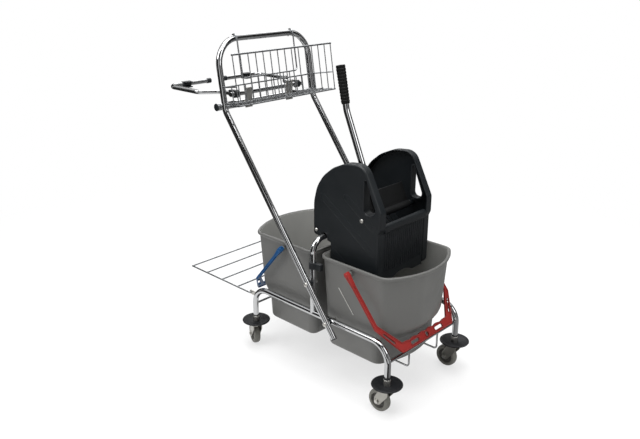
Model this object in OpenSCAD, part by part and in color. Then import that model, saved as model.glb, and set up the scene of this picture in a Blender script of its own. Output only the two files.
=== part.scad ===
// Double mop bucket trolley: a chromed tube frame on four castors, two
// plastic buckets with swinging bails, a lever wringer, a push handle with
// a wire basket and a bag holder, and a wire shelf behind.
// Millimetres. +X points from the bag holder to the front bucket, -Y is the
// near side, +Z is up, and the wheels stand on Z = 0.

/* [Frame tubes] */
// Outside diameter of the frame tubes
tube_d = 20; // [18:0.5:22]
// Wall thickness of the frame tubes
tube_wall = 1.5; // [1:0.1:2.5]
// Distance between the front and the rear castor stems
wheel_base = 596; // [590:1:640]
// Distance between the near and the far castor stems
wheel_track = 363; // [355:1:375]
// Height of the side rails above the floor
rail_z = 233; // [225:1:245]
// Bend radius where a rail turns down into a leg
rail_bend = 62; // [50:1:70]
// Height of the front cross bar
front_bar_z = 177; // [165:1:185]
// Diameter of the front cross bar
front_bar_d = 10; // [8:0.5:12]
// Height of the rear cross rod
rear_bar_z = 163; // [150:1:170]
// Diameter of the rear cross rod
rear_bar_d = 8; // [6:0.5:10]
// Diameter of the wires under the buckets
support_d = 6; // [5:0.5:8]
// Distance between the two wires under the buckets
support_gap = 150; // [120:1:180]

/* [Middle frame] */
// Where the middle frame stands, from the castor midpoint
mid_x = -14; // [-20:1:-8]
// Height of the middle frame's top bar
mid_z = 485; // [480:1:490]
// Corner radius of the middle frame
mid_bend = 45; // [35:1:55]

/* [Castors] */
// Wheel diameter
wheel_d = 75; // [70:1:78]
// Wheel width
wheel_w = 24; // [20:0.5:28]
// How far the wheel trails behind the stem
wheel_trail = 26; // [20:1:30]
// Axle diameter
axle_d = 8; // [6:0.5:10]
// Stem diameter
stem_d = 11; // [9:0.5:12]
// Thickness of the fork cheeks
fork_t = 3; // [2:0.5:4]
// Bumper disc diameter
disc_d = 98; // [90:1:106]
// Bumper disc height from its hub's underside to its rim
disc_t = 10; // [9:0.5:12]
// Thickness of the disc under the leg
disc_seat = 5; // [4:0.5:6]
// How far the rear near castor stands turned
castor_turn = -25; // [-60:1:60]
// Length of the plug in the leg
plug_l = 45; // [30:1:60]

/* [Push handle] */
// Spacer between the handle and the rails
handle_gap = 3.5; // [3:0.5:6]
// Lower end of the handle, from the castor midpoint
foot_x = 100; // [90:1:110]
// Height of the handle's lower end
foot_z = 191; // [185:1:200]
// Where the handle bends to its upper part, from the castor midpoint
knee_x = -388; // [-400:1:-375]
// Height of that bend
knee_z = 845; // [830:1:860]
// Centre of the push bar, from the castor midpoint
grip_x = -423; // [-435:1:-410]
// Height of the push bar's centre
grip_z = 1070; // [1050:1:1090]
// Corner radius beside the push bar
grip_bend = 88; // [70:1:100]
// Bolt diameter through the tubes
bolt_d = 8; // [6:0.5:9]

/* [Buckets] */
// Height of the rim's top
rim_z = 438; // [430:1:446]
// Rim height
rim_h = 10; // [7:0.5:12]
// How far the rim stands out from the wall
rim_out = 6; // [4:0.5:7]
// Wall thickness
bucket_wall = 3; // [2:0.25:4]
// Underside of the bucket
bucket_z = 120; // [115:1:130]
// Rim length from the middle frame's centre to the bow
rim_reach = 342; // [335:1:350]
// Gap between the middle frame's centre and the rims
rim_gap = 12; // [11:0.5:14]
// Depth of the bowed end
bow = 62; // [50:1:70]
// Half width of the bucket's underside
floor_half = 148; // [140:1:150]
// Length of the underside from the middle frame's centre
floor_reach = 282; // [270:1:284]
// Height of the step on the bowed end
step_z = 244; // [236:1:256]
// Height of the slope under that step
step_h = 40; // [30:1:48]
// Length above the step, from the middle frame's centre
step_reach = 320; // [314:1:324]
// Half width at the step
step_half = 156; // [153:1:158]

/* [Bails] */
// Pivot distance from the middle frame's centre
bail_x = 147; // [135:1:160]
// Pivot depth below the rim
bail_drop = 24; // [21:1:28]
// Length from pivot to the outer edge of the grip
bail_reach = 285; // [275:1:290]
// Width of the bail arms
bail_arm = 14; // [11:0.5:15]
// Width of the grip
bail_grip = 29; // [24:1:34]
// Bail thickness
bail_t = 8; // [6:0.5:9]
// How far below level the bails hang
bail_hang = 50; // [46:1:52]
// Pivot stud diameter
stud_d = 10; // [8:0.5:11]
// How far the arms run past the pivot
bail_tail = 9; // [8:0.5:11]

/* [Wringer] */
// Half width over the side plates
wringer_half = 130; // [124:1:132]
// Side plate thickness
plate_t = 5; // [4:0.25:6]
// Depth of the flange round the side plates
flange = 28; // [22:1:30]
// Axle diameter
press_axle_d = 12; // [10:0.5:13]
// Axle position, from the castor midpoint
press_x = 140; // [136:1:143]
// Axle height
press_z = 576; // [573:1:579]
// Lever tube diameter
lever_d = 20; // [18:0.5:22]
// Lever position across the wringer
lever_y = -57; // [-65:1:-50]
// Thickness of the drain plate
drain_t = 4; // [3:0.5:5]
// Thickness of the press jaw
jaw_t = 7; // [5:0.5:9]
// Height of the press jaw above the axle
jaw_high = 74; // [60:1:120]
// Distance between ribs
rib_pitch = 19; // [16:0.5:22]

/* [Basket] */
// Width of the basket's front
basket_w = 450; // [440:1:452]
// Width of the basket's back
basket_back_w = 416; // [410:1:422]
// Distance from the handle's centre plane to the basket's front
basket_depth = 95; // [80:1:105]
// Drop from the push bar to the front rim
basket_top = 52; // [45:1:60]
// Drop from the push bar to the bottom
basket_low = 212; // [200:1:220]
// Drop from the push bar to the back rim
basket_back_top = 151; // [140:1:160]
// Thick wire of the basket
rim_wire_d = 6; // [5:0.5:7]
// Thin wire of the basket
thin_wire_d = 3.5; // [3:0.25:4.5]
// Number of upright wires
basket_wires = 15; // [11:2:19]

/* [Bag holder] */
// Cross tube diameter
bag_rail_d = 25; // [22:0.5:28]
// How far the cross tube runs past the handle's centre
bag_rail_over = 17; // [14:0.5:22]
// Hinge bar diameter
hinge_bar_d = 16; // [14:0.5:18]
// Hinge bar height
hinge_z = 891; // [887:1:896]
// Arm tube diameter
arm_d = 16; // [14:0.5:17]
// Half width of the bag frame
arm_half = 208; // [202:1:216]
// Rear end of the bag frame, from the castor midpoint
arm_rear = -690; // [-700:1:-680]

/* [Shelf] */
// Wire diameter
shelf_d = 6; // [5:0.5:7]
// Height of the shelf
shelf_z = 205; // [200:1:210]
// Hinge line, from the castor midpoint
shelf_x = -318; // [-324:1:-316]
// Rear edge, from the castor midpoint
shelf_rear = -652; // [-670:1:-630]
// Half width over the side wires' centres
shelf_half = 190; // [188:0.5:194]

/* [Hidden] */
$fn = 48;
// Running clearance on a radius
fit = 0.05;
// Gap between faces that pass each other
pass = 0.5;

tube_r = tube_d / 2;
half_base = wheel_base / 2;
half_track = wheel_track / 2;
handle_y = half_track + tube_d + handle_gap;
rim_half = half_track - tube_r - 0.5;
bail_outer = handle_y - tube_r - 5;
bail_inner = bail_outer - bail_arm;
wheel_r = wheel_d / 2;
fork_low = wheel_d + 7;
disc_low = fork_low + 14;
fork_high = disc_low - pass;
leg_low = disc_low + disc_seat;
rear_bar_x = -half_base - 6;
support_z = bucket_z - support_d / 2;
// Origin: the middle of the trolley's overall length, on the floor
clip_skin = 2.5;
origin_x = -(half_base + disc_d / 2 + arm_rear - arm_d / 2 - clip_skin) / 2;
// Bolts where the handle crosses the rails and the middle frame
handle_slope = (knee_x - foot_x) / (knee_z - foot_z);
rail_bolt_x = foot_x + (rail_z - foot_z) * handle_slope;
mid_bolt_z = foot_z + (mid_x - foot_x) / handle_slope;
// Lean of the handle's upper part
handle_lean = atan2(knee_x - grip_x, grip_z - knee_z);
upper_l = norm([knee_x - grip_x, grip_z - knee_z]);
knee_bend = 40;
// Cross tube of the bag holder, behind the handle and just above its bend
bag_rail_drop = upper_l - 15;
bag_rail_in = tube_r + bag_rail_d / 2;
bag_rail_l = 2 * (handle_y + bag_rail_over);
bag_screw_d = 6;
bag_rail_x = grip_x + bag_rail_drop * sin(handle_lean) - bag_rail_in * cos(handle_lean);
bag_rail_z = grip_z - bag_rail_drop * cos(handle_lean) - bag_rail_in * sin(handle_lean);
// Hinge bar, its front level with the cross tube's front
hinge_x = bag_rail_x + bag_rail_d / 2 - hinge_bar_d / 2;
strap_y = 95;
strap_w = 30;
strap_t = 3;
arm_y = 141;
arm_block_w = 18;
basket_back_x = tube_r + rim_wire_d / 2 - 0.5;
hanger_y = 127;
hanger_low = basket_back_top - 20;
hanger_d = 5;
bail_z = rim_z - bail_drop;
lug_t = 5;
wringer_rear = -62;
tie_x = wringer_rear + 13;
tie_z = mid_z + 14;
tie_d = 8;
wringer_low = 382;
wringer_front = 204;
ledge_z = 545;
ledge_x = wringer_front + 7;
flange_t = 4;
wringer_in = mid_x + rim_gap + rim_out + bucket_wall + 4;

// Flat geometry

function unit(v) = v / norm(v);
function heading(v) = atan2(v[1], v[0]);
function left(v) = [-v[1], v[0]];
function turn(u, v) = atan2(u[0] * v[1] - u[1] * v[0], u * v);

// Corner points of a closed outline with every corner rounded.
function rounded(p, r, n) = [
    for (i = [0 : len(p) - 1])
        let (
            a = p[(i + len(p) - 1) % len(p)],
            b = p[i],
            c = p[(i + 1) % len(p)],
            u = unit(b - a),
            v = unit(c - b),
            t = turn(u, v),
            s = sign(t),
            o = b - u * r[i] * abs(tan(t / 2)) + s * r[i] * left(u),
            st = heading(-s * left(u))
        )
        for (j = [0 : n]) o + r[i] * [cos(st + t * j / n), sin(st + t * j / n)]
];

// The same corners moved inwards by d, for an outline that runs anticlockwise.
function moved_in(p, d) = [
    for (i = [0 : len(p) - 1])
        let (
            a = p[(i + len(p) - 1) % len(p)],
            b = p[i],
            c = p[(i + 1) % len(p)],
            m = left(unit(b - a)),
            n = left(unit(c - b))
        )
        b + d * (m + n) / (1 + m * n)
];

// Moves a node from the castor midpoint to the trolley's origin.
module placed() {
    translate([origin_x, 0, 0])
        children();
}

// Stands a flat path up in the XZ plane at a given Y.
module upright(y) {
    translate([0, y, 0])
        rotate([90, 0, 0])
            children();
}

// Stands a flat path up in the YZ plane at a given X.
module across(x) {
    translate([x, 0, 0])
        rotate([90, 0, 90])
            children();
}

// The push bar's own frame: Z along the handle's upper part, X forward.
module at_grip() {
    translate([grip_x, 0, grip_z])
        rotate([0, -handle_lean, 0])
            children();
}

// A round bar along Y, centred.
module y_bar(x, z, r, l) {
    translate([x, 0, z])
        rotate([90, 0, 0])
            cylinder(h = l, r = r, center = true);
}

// One straight piece of a flat path.
module straight(a, b, r) {
    if (norm(b - a) > 0.01)
        translate([a[0], a[1], 0])
            rotate([0, 0, heading(b - a)])
                rotate([0, 90, 0])
                    cylinder(h = norm(b - a), r = r);
}

// A round bar bent along a flat path, with true round bends. Each bend is a
// hair thicker than the straights, which run a little way into it.
bend_skin = 0.04;
bend_lap = 1;
module bent(p, bend, r) {
    last = len(p) - 1;
    cut = [
        for (i = [0 : last])
            i == 0 || i == last ? 0
            : bend * abs(tan(turn(p[i] - p[i - 1], p[i + 1] - p[i]) / 2))
    ];
    for (i = [0 : last - 1])
        let (
            u = unit(p[i + 1] - p[i]),
            start = i == 0 ? 0 : cut[i] - bend_lap,
            stop = i == last - 1 ? 0 : cut[i + 1] - bend_lap
        )
        straight(p[i] + u * start, p[i + 1] - u * stop, r);
    for (i = [1 : last - 1])
        elbow(p[i], unit(p[i] - p[i - 1]), unit(p[i + 1] - p[i]), bend, cut[i], r + bend_skin);
}

// One bend of a flat path.
module elbow(at, u, v, bend, cut, r) {
    t = turn(u, v);
    s = sign(t);
    o = at - u * cut + s * bend * left(u);
    st = heading(-s * left(u));
    translate([o[0], o[1], 0])
        rotate([0, 0, s > 0 ? st : st + t])
            rotate_extrude(angle = abs(t))
                translate([bend, 0])
                    circle(r = r);
}

// The far side's copy of a piece that is drawn for the near side.
module mirrored(far) {
    if (far)
        mirror([0, 1, 0])
            children();
    else
        children();
}

module chrome() {
    color([0.8, 0.81, 0.82])
        placed()
            children();
}

module black() {
    color([0.09, 0.1, 0.11])
        placed()
            children();
}

module zinc() {
    color([0.6, 0.6, 0.58])
        placed()
            children();
}

// Frame

module rail_path(r) {
    bent([[-half_base, leg_low], [-half_base, rail_z], [half_base, rail_z], [half_base, leg_low]],
         rail_bend, r);
}

// One side rail with its two legs, a tube bent down at both ends.
module side_rail(y) {
    chrome()
        difference() {
            upright(y)
                rail_path(tube_r);
            upright(y)
                rail_path(tube_r - tube_wall);
            y_bolt_hole(rail_bolt_x, rail_z);
        }
}

module y_bolt_hole(x, z) {
    y_bar(x, z, bolt_d / 2 + fit, 2 * handle_y + 2 * tube_d);
}

module near_side_rail() {
    side_rail(-half_track);
}

module far_side_rail() {
    side_rail(half_track);
}

// Both legs of one end, to shape the ends of what is welded to them.
module leg_pair(x) {
    for (s = [-1, 1])
        translate([x, s * half_track, 0])
            cylinder(h = rail_z - rail_bend, r = tube_r);
}

module front_bar_rod() {
    y_bar(half_base, front_bar_z, front_bar_d / 2, wheel_track);
}

module rear_bar_rod() {
    y_bar(rear_bar_x, rear_bar_z, rear_bar_d / 2, wheel_track);
}

// The front bar sits in the start of the leg bends, so the whole rail shapes it.
module front_cross_bar() {
    chrome()
        difference() {
            front_bar_rod();
            for (s = [-1, 1])
                upright(s * half_track)
                    rail_path(tube_r);
        }
}

module rear_cross_rod() {
    chrome()
        difference() {
            rear_bar_rod();
            leg_pair(-half_base);
        }
}

// Two wires under the buckets, bent up to the bars at both ends.
module bucket_support_wires() {
    chrome()
        difference() {
            for (s = [-1, 1])
                upright(s * support_gap / 2)
                    bent([[half_base, front_bar_z], [half_base, support_z],
                          [rear_bar_x, support_z], [rear_bar_x, rear_bar_z]],
                         12, support_d / 2);
            front_bar_rod();
            rear_bar_rod();
        }
}

module mid_path(r) {
    across(mid_x)
        bent([[-half_track, rail_z], [-half_track, mid_z], [half_track, mid_z], [half_track, rail_z]],
             mid_bend, r);
}

// The arch between the buckets that carries the wringer.
module mid_frame() {
    chrome()
        difference() {
            mid_path(tube_r);
            mid_path(tube_r - tube_wall);
            for (s = [-1, 1])
                translate([mid_x, s * half_track, rail_z])
                    rotate([0, 90, 0])
                        cylinder(h = 4 * tube_d, r = tube_r, center = true);
            y_bolt_hole(mid_x, mid_bolt_z);
        }
}

// The push handle with a chosen radius: two bent legs, two corners, one bar.
module handle_path(r) {
    leg_top = grip_bend - bend_lap;
    for (s = [-1, 1])
        upright(s * handle_y)
            bent([[foot_x, foot_z], [knee_x, knee_z],
                  [grip_x + leg_top * sin(handle_lean), grip_z - leg_top * cos(handle_lean)]],
                 knee_bend, r);
    at_grip()
        across(0) {
            straight([leg_top - handle_y, 0], [handle_y - leg_top, 0], r);
            elbow([-handle_y, 0], [0, 1], [1, 0], grip_bend, grip_bend, r + bend_skin);
            elbow([handle_y, 0], [1, 0], [0, -1], grip_bend, grip_bend, r + bend_skin);
        }
}

module push_handle() {
    chrome()
        difference() {
            handle_path(tube_r);
            handle_path(tube_r - tube_wall);
            y_bolt_hole(rail_bolt_x, rail_z);
            y_bolt_hole(mid_x, mid_bolt_z);
            bag_bolt_cut();
        }
}

// Push-in plugs in the handle's lower ends.
module handle_plugs() {
    lean = atan2(-handle_slope, 1);
    black()
        for (s = [-1, 1])
            translate([foot_x, s * handle_y, foot_z])
                rotate([0, -lean, 0])
                    union() {
                        translate([0, 0, -3])
                            cylinder(h = 3, r = tube_r);
                        cylinder(h = 14, r = tube_r - tube_wall);
                    }
}

module bolt_places() {
    for (s = [-1, 1], p = [[rail_bolt_x, rail_z], [mid_x, mid_bolt_z]])
        translate([p[0], s * half_track, p[1]])
            rotate([-90 * s, 0, 0])
                children();
}

// Spacer sleeves, hollowed to sit on the tubes they keep apart.
module handle_spacers() {
    black()
        difference() {
            bolt_places()
                difference() {
                    translate([0, 0, tube_r - 2])
                        cylinder(h = handle_gap + 4, r = 8);
                    cylinder(h = 2 * tube_d, r = bolt_d / 2 + fit);
                }
            for (s = [-1, 1])
                handle_saddles(s);
        }
}

// The straight tubes on one side that the spacers sit against.
module handle_saddles(s) {
    translate([rail_bolt_x, s * half_track, rail_z])
        rotate([0, 90, 0])
            cylinder(h = 2 * tube_d, r = tube_r, center = true);
    translate([mid_x, s * half_track, mid_bolt_z - tube_d])
        cylinder(h = 2 * tube_d, r = tube_r);
    upright(s * handle_y)
        straight([foot_x, foot_z], [2 * mid_x - foot_x, 2 * mid_bolt_z - foot_z], tube_r);
}

// Domed bolts through handle and frame, with a nut on the inside.
module handle_bolts() {
    zinc()
        bolt_places()
            union() {
                translate([0, 0, -tube_r - 4])
                    cylinder(h = 2 * tube_d + handle_gap + 4.5, r = bolt_d / 2);
                translate([0, 0, -tube_r - 5])
                    cylinder(h = 5, r = 7, $fn = 6);
                translate([0, 0, tube_d + handle_gap + tube_r])
                    rotate_extrude()
                        polygon([[0, 0], [7.5, 0], [7, 2], [5, 3.6], [0, 4.4]]);
            }
}

// Castors

function castor_at(i) = [(i < 2 ? 1 : -1) * half_base, (i % 2 == 0 ? -1 : 1) * half_track];

module at_castor(i) {
    translate([castor_at(i)[0], castor_at(i)[1], 0])
        rotate([0, 0, i == 2 ? castor_turn : 0])
            children();
}

// Dished rubber bumper discs between the legs and the forks.
module bumper_discs() {
    r = disc_d / 2;
    color([0.1, 0.1, 0.11])
        placed()
            for (i = [0 : 3])
                at_castor(i)
                    translate([0, 0, disc_low])
                        rotate_extrude()
                            polygon([[stem_d / 2, 0], [tube_r + 6, 0], [r - 8, disc_t - 6],
                                     [r - 1, disc_t - 5], [r, disc_t - 3], [r - 0.8, disc_t - 1],
                                     [r - 3, disc_t], [r - 7, disc_t - 0.8], [tube_r + 9, disc_seat + 0.6],
                                     [tube_r + 4, disc_seat], [stem_d / 2, disc_seat]]);
}

// Stems with an expanding plug in the leg and a head under the fork.
module castor_stems() {
    zinc()
        for (i = [0 : 3])
            at_castor(i)
                union() {
                    translate([0, 0, fork_low - 3])
                        cylinder(h = leg_low - fork_low + 4, r = stem_d / 2);
                    translate([0, 0, leg_low])
                        cylinder(h = plug_l, r = tube_r - tube_wall);
                    translate([0, 0, fork_low - 4])
                        cylinder(h = 4 - pass, r = stem_d / 2 + 3);
                }
}

module at_wheel(i) {
    at_castor(i)
        translate([-wheel_trail, 0, wheel_r])
            children();
}

fork_gap = wheel_w / 2 + 1.5;

// A pressed fork: a swivel head and two cheeks that hold the axle.
module fork(i) {
    zinc()
        at_castor(i)
            difference() {
                union() {
                    translate([0, 0, fork_low])
                        cylinder(h = fork_high - fork_low, r = 15);
                    translate([-16, -fork_gap - fork_t, fork_low])
                        cube([31, 2 * (fork_gap + fork_t), fork_t]);
                    for (s = [-1, 1])
                        upright(s * (fork_gap + fork_t / 2) + fork_t / 2)
                            linear_extrude(fork_t)
                                fork_cheek();
                }
                translate([0, 0, fork_low - 1])
                    cylinder(h = fork_high, r = stem_d / 2 + fit);
                y_bar(-wheel_trail, wheel_r, axle_d / 2, 60);
            }
}

module fork_cheek() {
    translate([-wheel_trail, wheel_r])
        circle(r = 9.5);
    polygon([[-wheel_trail - 9, wheel_r - 3], [-wheel_trail + 6, wheel_r - 7.4], [15, fork_low - 12],
             [15, fork_low + fork_t], [-16, fork_low + fork_t], [-22, fork_low - 8]]);
}

module fork_front_near() {
    fork(0);
}

module fork_front_far() {
    fork(1);
}

module fork_rear_near() {
    fork(2);
}

module fork_rear_far() {
    fork(3);
}

// Axle bolt with a hexagon at both ends.
module axle(i) {
    zinc()
        at_wheel(i)
            rotate([90, 0, 0])
                union() {
                    cylinder(h = 2 * (fork_gap + fork_t) + 2, r = axle_d / 2, center = true);
                    for (s = [0, 180])
                        rotate([s, 0, 0])
                            translate([0, 0, fork_gap + fork_t])
                                cylinder(h = 4, r = 6.5, $fn = 6);
                }
}

module axle_front_near() {
    axle(0);
}

module axle_front_far() {
    axle(1);
}

module axle_rear_near() {
    axle(2);
}

module axle_rear_far() {
    axle(3);
}

// A moulded wheel: crowned tread, sunk web and a hub as wide as the fork.
module wheel(i) {
    w = wheel_w / 2;
    b = axle_d / 2 + fit;
    color([0.46, 0.45, 0.42])
        placed()
            at_wheel(i)
                rotate([90, 0, 0])
                    rotate_extrude()
                        polygon([[b, -fork_gap + pass], [11, -fork_gap + pass], [11, -w + 6],
                                 [wheel_r - 12, -w + 6], [wheel_r - 11, -w], [wheel_r - 5, -w],
                                 [wheel_r - 1.5, -w + 3], [wheel_r, -w + 8], [wheel_r, w - 8],
                                 [wheel_r - 1.5, w - 3], [wheel_r - 5, w], [wheel_r - 11, w],
                                 [wheel_r - 12, w - 6], [11, w - 6], [11, fork_gap - pass],
                                 [b, fork_gap - pass]]);
}

module wheel_front_near() {
    wheel(0);
}

module wheel_front_far() {
    wheel(1);
}

module wheel_rear_near() {
    wheel(2);
}

module wheel_rear_far() {
    wheel(3);
}

// Buckets

// Outline of a bucket at one level: flat towards the middle, bowed outside.
function bow_points(xc, x1, w) = [
    for (i = [0 : 8])
        let (
            y = w * (i / 4 - 1),
            s = x1 - xc,
            br = (w * w + s * s) / (2 * s)
        )
        [x1 - br + sqrt(br * br - y * y), y]
];
function bucket_outline(x0, x1, w, depth) = rounded(
    concat([[x0, -w]], bow_points(x1 - depth, x1, w), [[x0, w]]),
    concat([26, 34], [for (i = [1 : 7]) 140], [34, 26]), 5);

wall_top = [rim_gap + rim_out, rim_reach - rim_out, rim_half - rim_out];
wall_step = [rim_gap + rim_out + 7, step_reach, step_half];
wall_foot = [rim_gap + rim_out + 9, floor_reach + 2, step_half - 2];
wall_low = [rim_gap + rim_out + 12, floor_reach, floor_half];
foot_r = 14;
foot_in = 8;

module level(z, size, in, depth) {
    translate([0, 0, z])
        linear_extrude(1)
            polygon(bucket_outline(size[0] + in, size[1] - in, size[2] - in, depth));
}

// The tapered body, moved inwards by a chosen amount: an upper part, a slope
// that sets its bowed end in, and the foot with a rounded edge.
module bucket_body(in, low, high) {
    hull() {
        level(high - 1, wall_top, in, bow);
        level(step_z, wall_step, in, bow * 0.85);
    }
    hull() {
        level(step_z, wall_step, in, bow * 0.85);
        level(step_z - step_h, wall_foot, in, bow * 0.7);
    }
    hull() {
        level(step_z - step_h, wall_foot, in, bow * 0.7);
        level(low + foot_r, wall_low, in, bow * 0.65);
        level(low, wall_low, in + foot_in, bow * 0.6);
    }
}

module bucket() {
    difference() {
        union() {
            bucket_body(0, bucket_z, rim_z - 1);
            for (s = [-1, 1])
                bail_stud(s);
        }
        bucket_body(bucket_wall, bucket_z + bucket_wall, rim_z + 1);
    }
    translate([0, 0, rim_z - rim_h])
        linear_extrude(rim_h)
            difference() {
                polygon(bucket_outline(rim_gap, rim_reach, rim_half, bow));
                polygon(bucket_outline(rim_gap + rim_out + 1, rim_reach - rim_out - 1,
                                       rim_half - rim_out - 1, bow));
            }
}

// Moulded stud with a shoulder inside and a cap outside of the bail's eye.
module bail_stud(s) {
    translate([bail_x, 0, bail_z])
        rotate([-90 * s, 0, 0])
            union() {
                cylinder(h = bail_outer + 2.5, r = stud_d / 2);
                cylinder(h = bail_inner - pass, r = stud_d / 2 + 4);
                translate([0, 0, bail_outer + pass])
                    cylinder(h = 2, r = stud_d / 2 + 2);
            }
}

module bucket_grey() {
    color([0.42, 0.42, 0.41])
        placed()
            translate([mid_x, 0, 0])
                children();
}

module front_bucket() {
    bucket_grey()
        bucket();
}

module rear_bucket() {
    bucket_grey()
        rotate([0, 0, 180])
            bucket();
}

// Clips on the middle frame that keep the front bucket in place.
keeper_h = 22;
keeper_l = 36;
module bucket_keepers() {
    black()
        for (far = [false, true])
            mirrored(far)
                translate([mid_x, -half_track, rim_z - rim_h - 16 - keeper_h])
                    difference() {
                        union() {
                            cylinder(h = keeper_h, r = tube_r + 3);
                            translate([0, -5, 0])
                                cube([keeper_l, 14, keeper_h]);
                        }
                        translate([0, 0, -1])
                            cylinder(h = keeper_h + 2, r = tube_r);
                    }
}

// Bails

// Outer and inner corners of a bail, X along it and Y across it.
bail_corner = bail_inner - 46;
bail_knee = bail_reach - 99;
bail_out = [[-bail_tail, -bail_outer], [bail_knee, -bail_outer], [bail_reach, -bail_corner],
            [bail_reach, bail_corner], [bail_knee, bail_outer], [-bail_tail, bail_outer]];
bail_in = [[-20, -bail_inner], [bail_knee - 10, -bail_inner], [bail_reach - bail_grip, -bail_corner + 14],
           [bail_reach - bail_grip, bail_corner - 14], [bail_knee - 10, bail_inner], [-20, bail_inner]];

module slot(l, w) {
    square([l - w, w], center = true);
    for (s = [-1, 1])
        translate([s * (l - w) / 2, 0])
            circle(r = w / 2);
}

module bail_flat() {
    mid_grip = bail_reach - bail_grip / 2;
    difference() {
        polygon(rounded(bail_out, [1, 14, 14, 14, 14, 1], 4));
        polygon(rounded(bail_in, [1, 8, 8, 8, 8, 1], 4));
        translate([mid_grip, 0])
            circle(r = 8.5);
        for (s = [-1, 1]) {
            translate([mid_grip, s * 62])
                rotate([0, 0, 90])
                    slot(42, 10);
            translate([bail_knee + 42, s * (bail_outer - 34)])
                rotate([0, 0, -s * 33])
                    slot(48, 8);
        }
    }
}

// A moulded bail: flat hoop with an eye at each end.
module bail() {
    difference() {
        union() {
            linear_extrude(bail_t, center = true)
                bail_flat();
            for (s = [-1, 1])
                translate([0, s * (bail_inner + bail_outer) / 2, 0])
                    rotate([90, 0, 0])
                        cylinder(h = bail_arm, r = stud_d / 2 + 3, center = true);
        }
        rotate([90, 0, 0])
            cylinder(h = 3 * bail_outer, r = stud_d / 2 + fit, center = true);
    }
}

module front_bail() {
    color([0.66, 0.12, 0.11])
        placed()
            translate([mid_x + bail_x, 0, bail_z])
                rotate([0, bail_hang, 0])
                    bail();
}

module rear_bail() {
    color([0.03, 0.27, 0.5])
        placed()
            translate([mid_x - bail_x, 0, bail_z])
                rotate([0, -bail_hang, 0])
                    rotate([0, 0, 180])
                        bail();
}

// Wringer

// Side plate outline in X and Z, from the lower rear corner anticlockwise.
plate_pts = [
    [wringer_rear, mid_z - 2], [wringer_in, mid_z - 15], [wringer_in, wringer_low],
    [wringer_front, wringer_low], [wringer_front, ledge_z], [ledge_x, ledge_z + 16],
    [ledge_x, 613], [142, 748], [62, 742], [-10, 702], [wringer_rear, 640]
];
plate_r = [8, 3, 14, 18, 6, 8, 22, 44, 120, 120, 75];
hole_pts = [[146, 600], [198, 600], [147, 719]];
hole_r = [15, 18, 4];

module plate_face(in) {
    polygon(rounded(moved_in(plate_pts, in), [for (r = plate_r) max(r - in, 1)], 6));
}

module hand_hole(out) {
    polygon(rounded(moved_in(hole_pts, -out), [for (r = hole_r) r + out], 6));
}

// Notch that sets the plate down over the middle frame's top bar.
module bar_notch() {
    translate([mid_x, mid_z])
        circle(r = tube_r);
    translate([mid_x - tube_r, mid_z - 60])
        square([tube_d, 60]);
}

// One side plate with a flange round its edge and a collar round its hand hole.
module side_plate() {
    inner = wringer_half - plate_t;
    difference() {
        union() {
            upright(-inner)
                linear_extrude(plate_t)
                    plate_face(0);
            upright(-wringer_half + flange)
                linear_extrude(flange)
                    difference() {
                        plate_face(0);
                        plate_face(flange_t);
                    }
            upright(-wringer_half + flange)
                linear_extrude(flange)
                    hand_hole(3.5);
            upright(-wringer_half + flange)
                linear_extrude(flange)
                    for (p = [[press_x, press_z], [tie_x, tie_z]])
                        translate(p)
                            circle(r = 10);
        }
        upright(-wringer_half + 2 * flange)
            linear_extrude(3 * flange) {
                hand_hole(0);
                bar_notch();
            }
        y_bar(press_x, press_z, press_axle_d / 2, 3 * wringer_half);
        y_bar(tie_x, tie_z, tie_d / 2, 3 * wringer_half);
    }
}

module wringer_near_plate() {
    black()
        side_plate();
}

module wringer_far_plate() {
    black()
        mirror([0, 1, 0])
            side_plate();
}

// Front wall: a ribbed panel under a rounded ledge, with a low arch in its foot.
wall_t = 5;
wall_x = wringer_front - 2 - wall_t;
wall_rib = 10;
arch_w = 100;
arch_h = 14;
module wringer_front_wall() {
    half = wringer_half - flange;
    ribs = floor((half - 8) / wall_rib);
    arch_r = (arch_w * arch_w / 4 + arch_h * arch_h) / (2 * arch_h);
    black()
        difference() {
            union() {
                translate([wall_x, -half, wringer_low])
                    cube([wall_t, 2 * half, ledge_z - wringer_low + 1]);
                upright(half)
                    linear_extrude(2 * half)
                        polygon(rounded([[wall_x, ledge_z - 2], [ledge_x - 5, ledge_z - 2],
                                         [ledge_x - 1, ledge_z + 4], [ledge_x - 1, ledge_z + 26],
                                         [wall_x, ledge_z + 26]], [1, 3, 4, 9, 3], 5));
                for (i = [-ribs : ribs])
                    translate([wall_x + wall_t - 1, i * wall_rib - 1.5, wringer_low + 34])
                        cube([3, 3, ledge_z - wringer_low - 34]);
            }
            translate([wall_x - wall_t, 0, wringer_low + arch_h - arch_r])
                rotate([0, 90, 0])
                    cylinder(h = 4 * wall_t, r = arch_r);
        }
}

// Fixed drain plate that slopes from the rear mouth to the bucket.
drain_a = [-50, 614];
drain_b = [190, 424];
module wringer_drain_plate() {
    half = wringer_half - plate_t;
    long = norm(drain_b - drain_a);
    black()
        translate([drain_a[0], 0, drain_a[1]])
            rotate([0, -heading(drain_b - drain_a), 0])
                difference() {
                    translate([0, -half, -drain_t])
                        cube([long, 2 * half, drain_t]);
                    for (i = [-5 : 5], j = [0 : 2])
                        translate([30 + j * 88, i * rib_pitch - 3.5, -2 * drain_t])
                            cube([70, 7, 3 * drain_t]);
                }
}

// Rod that ties the side plates together behind, with a dome at both ends.
module wringer_tie_rod() {
    zinc()
        translate([tie_x, 0, tie_z])
            domed_rod(tie_d / 2, wringer_half, 6);
}

module domed_rod(r, half, head) {
    for (s = [-1, 1])
        rotate([-90 * s, 0, 0])
            union() {
                cylinder(h = half, r = r);
                translate([0, 0, half])
                    rotate_extrude()
                        polygon([[0, 0], [head, 0], [head - 1, 2], [head / 2, 3.4], [0, 4]]);
            }
}

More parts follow.
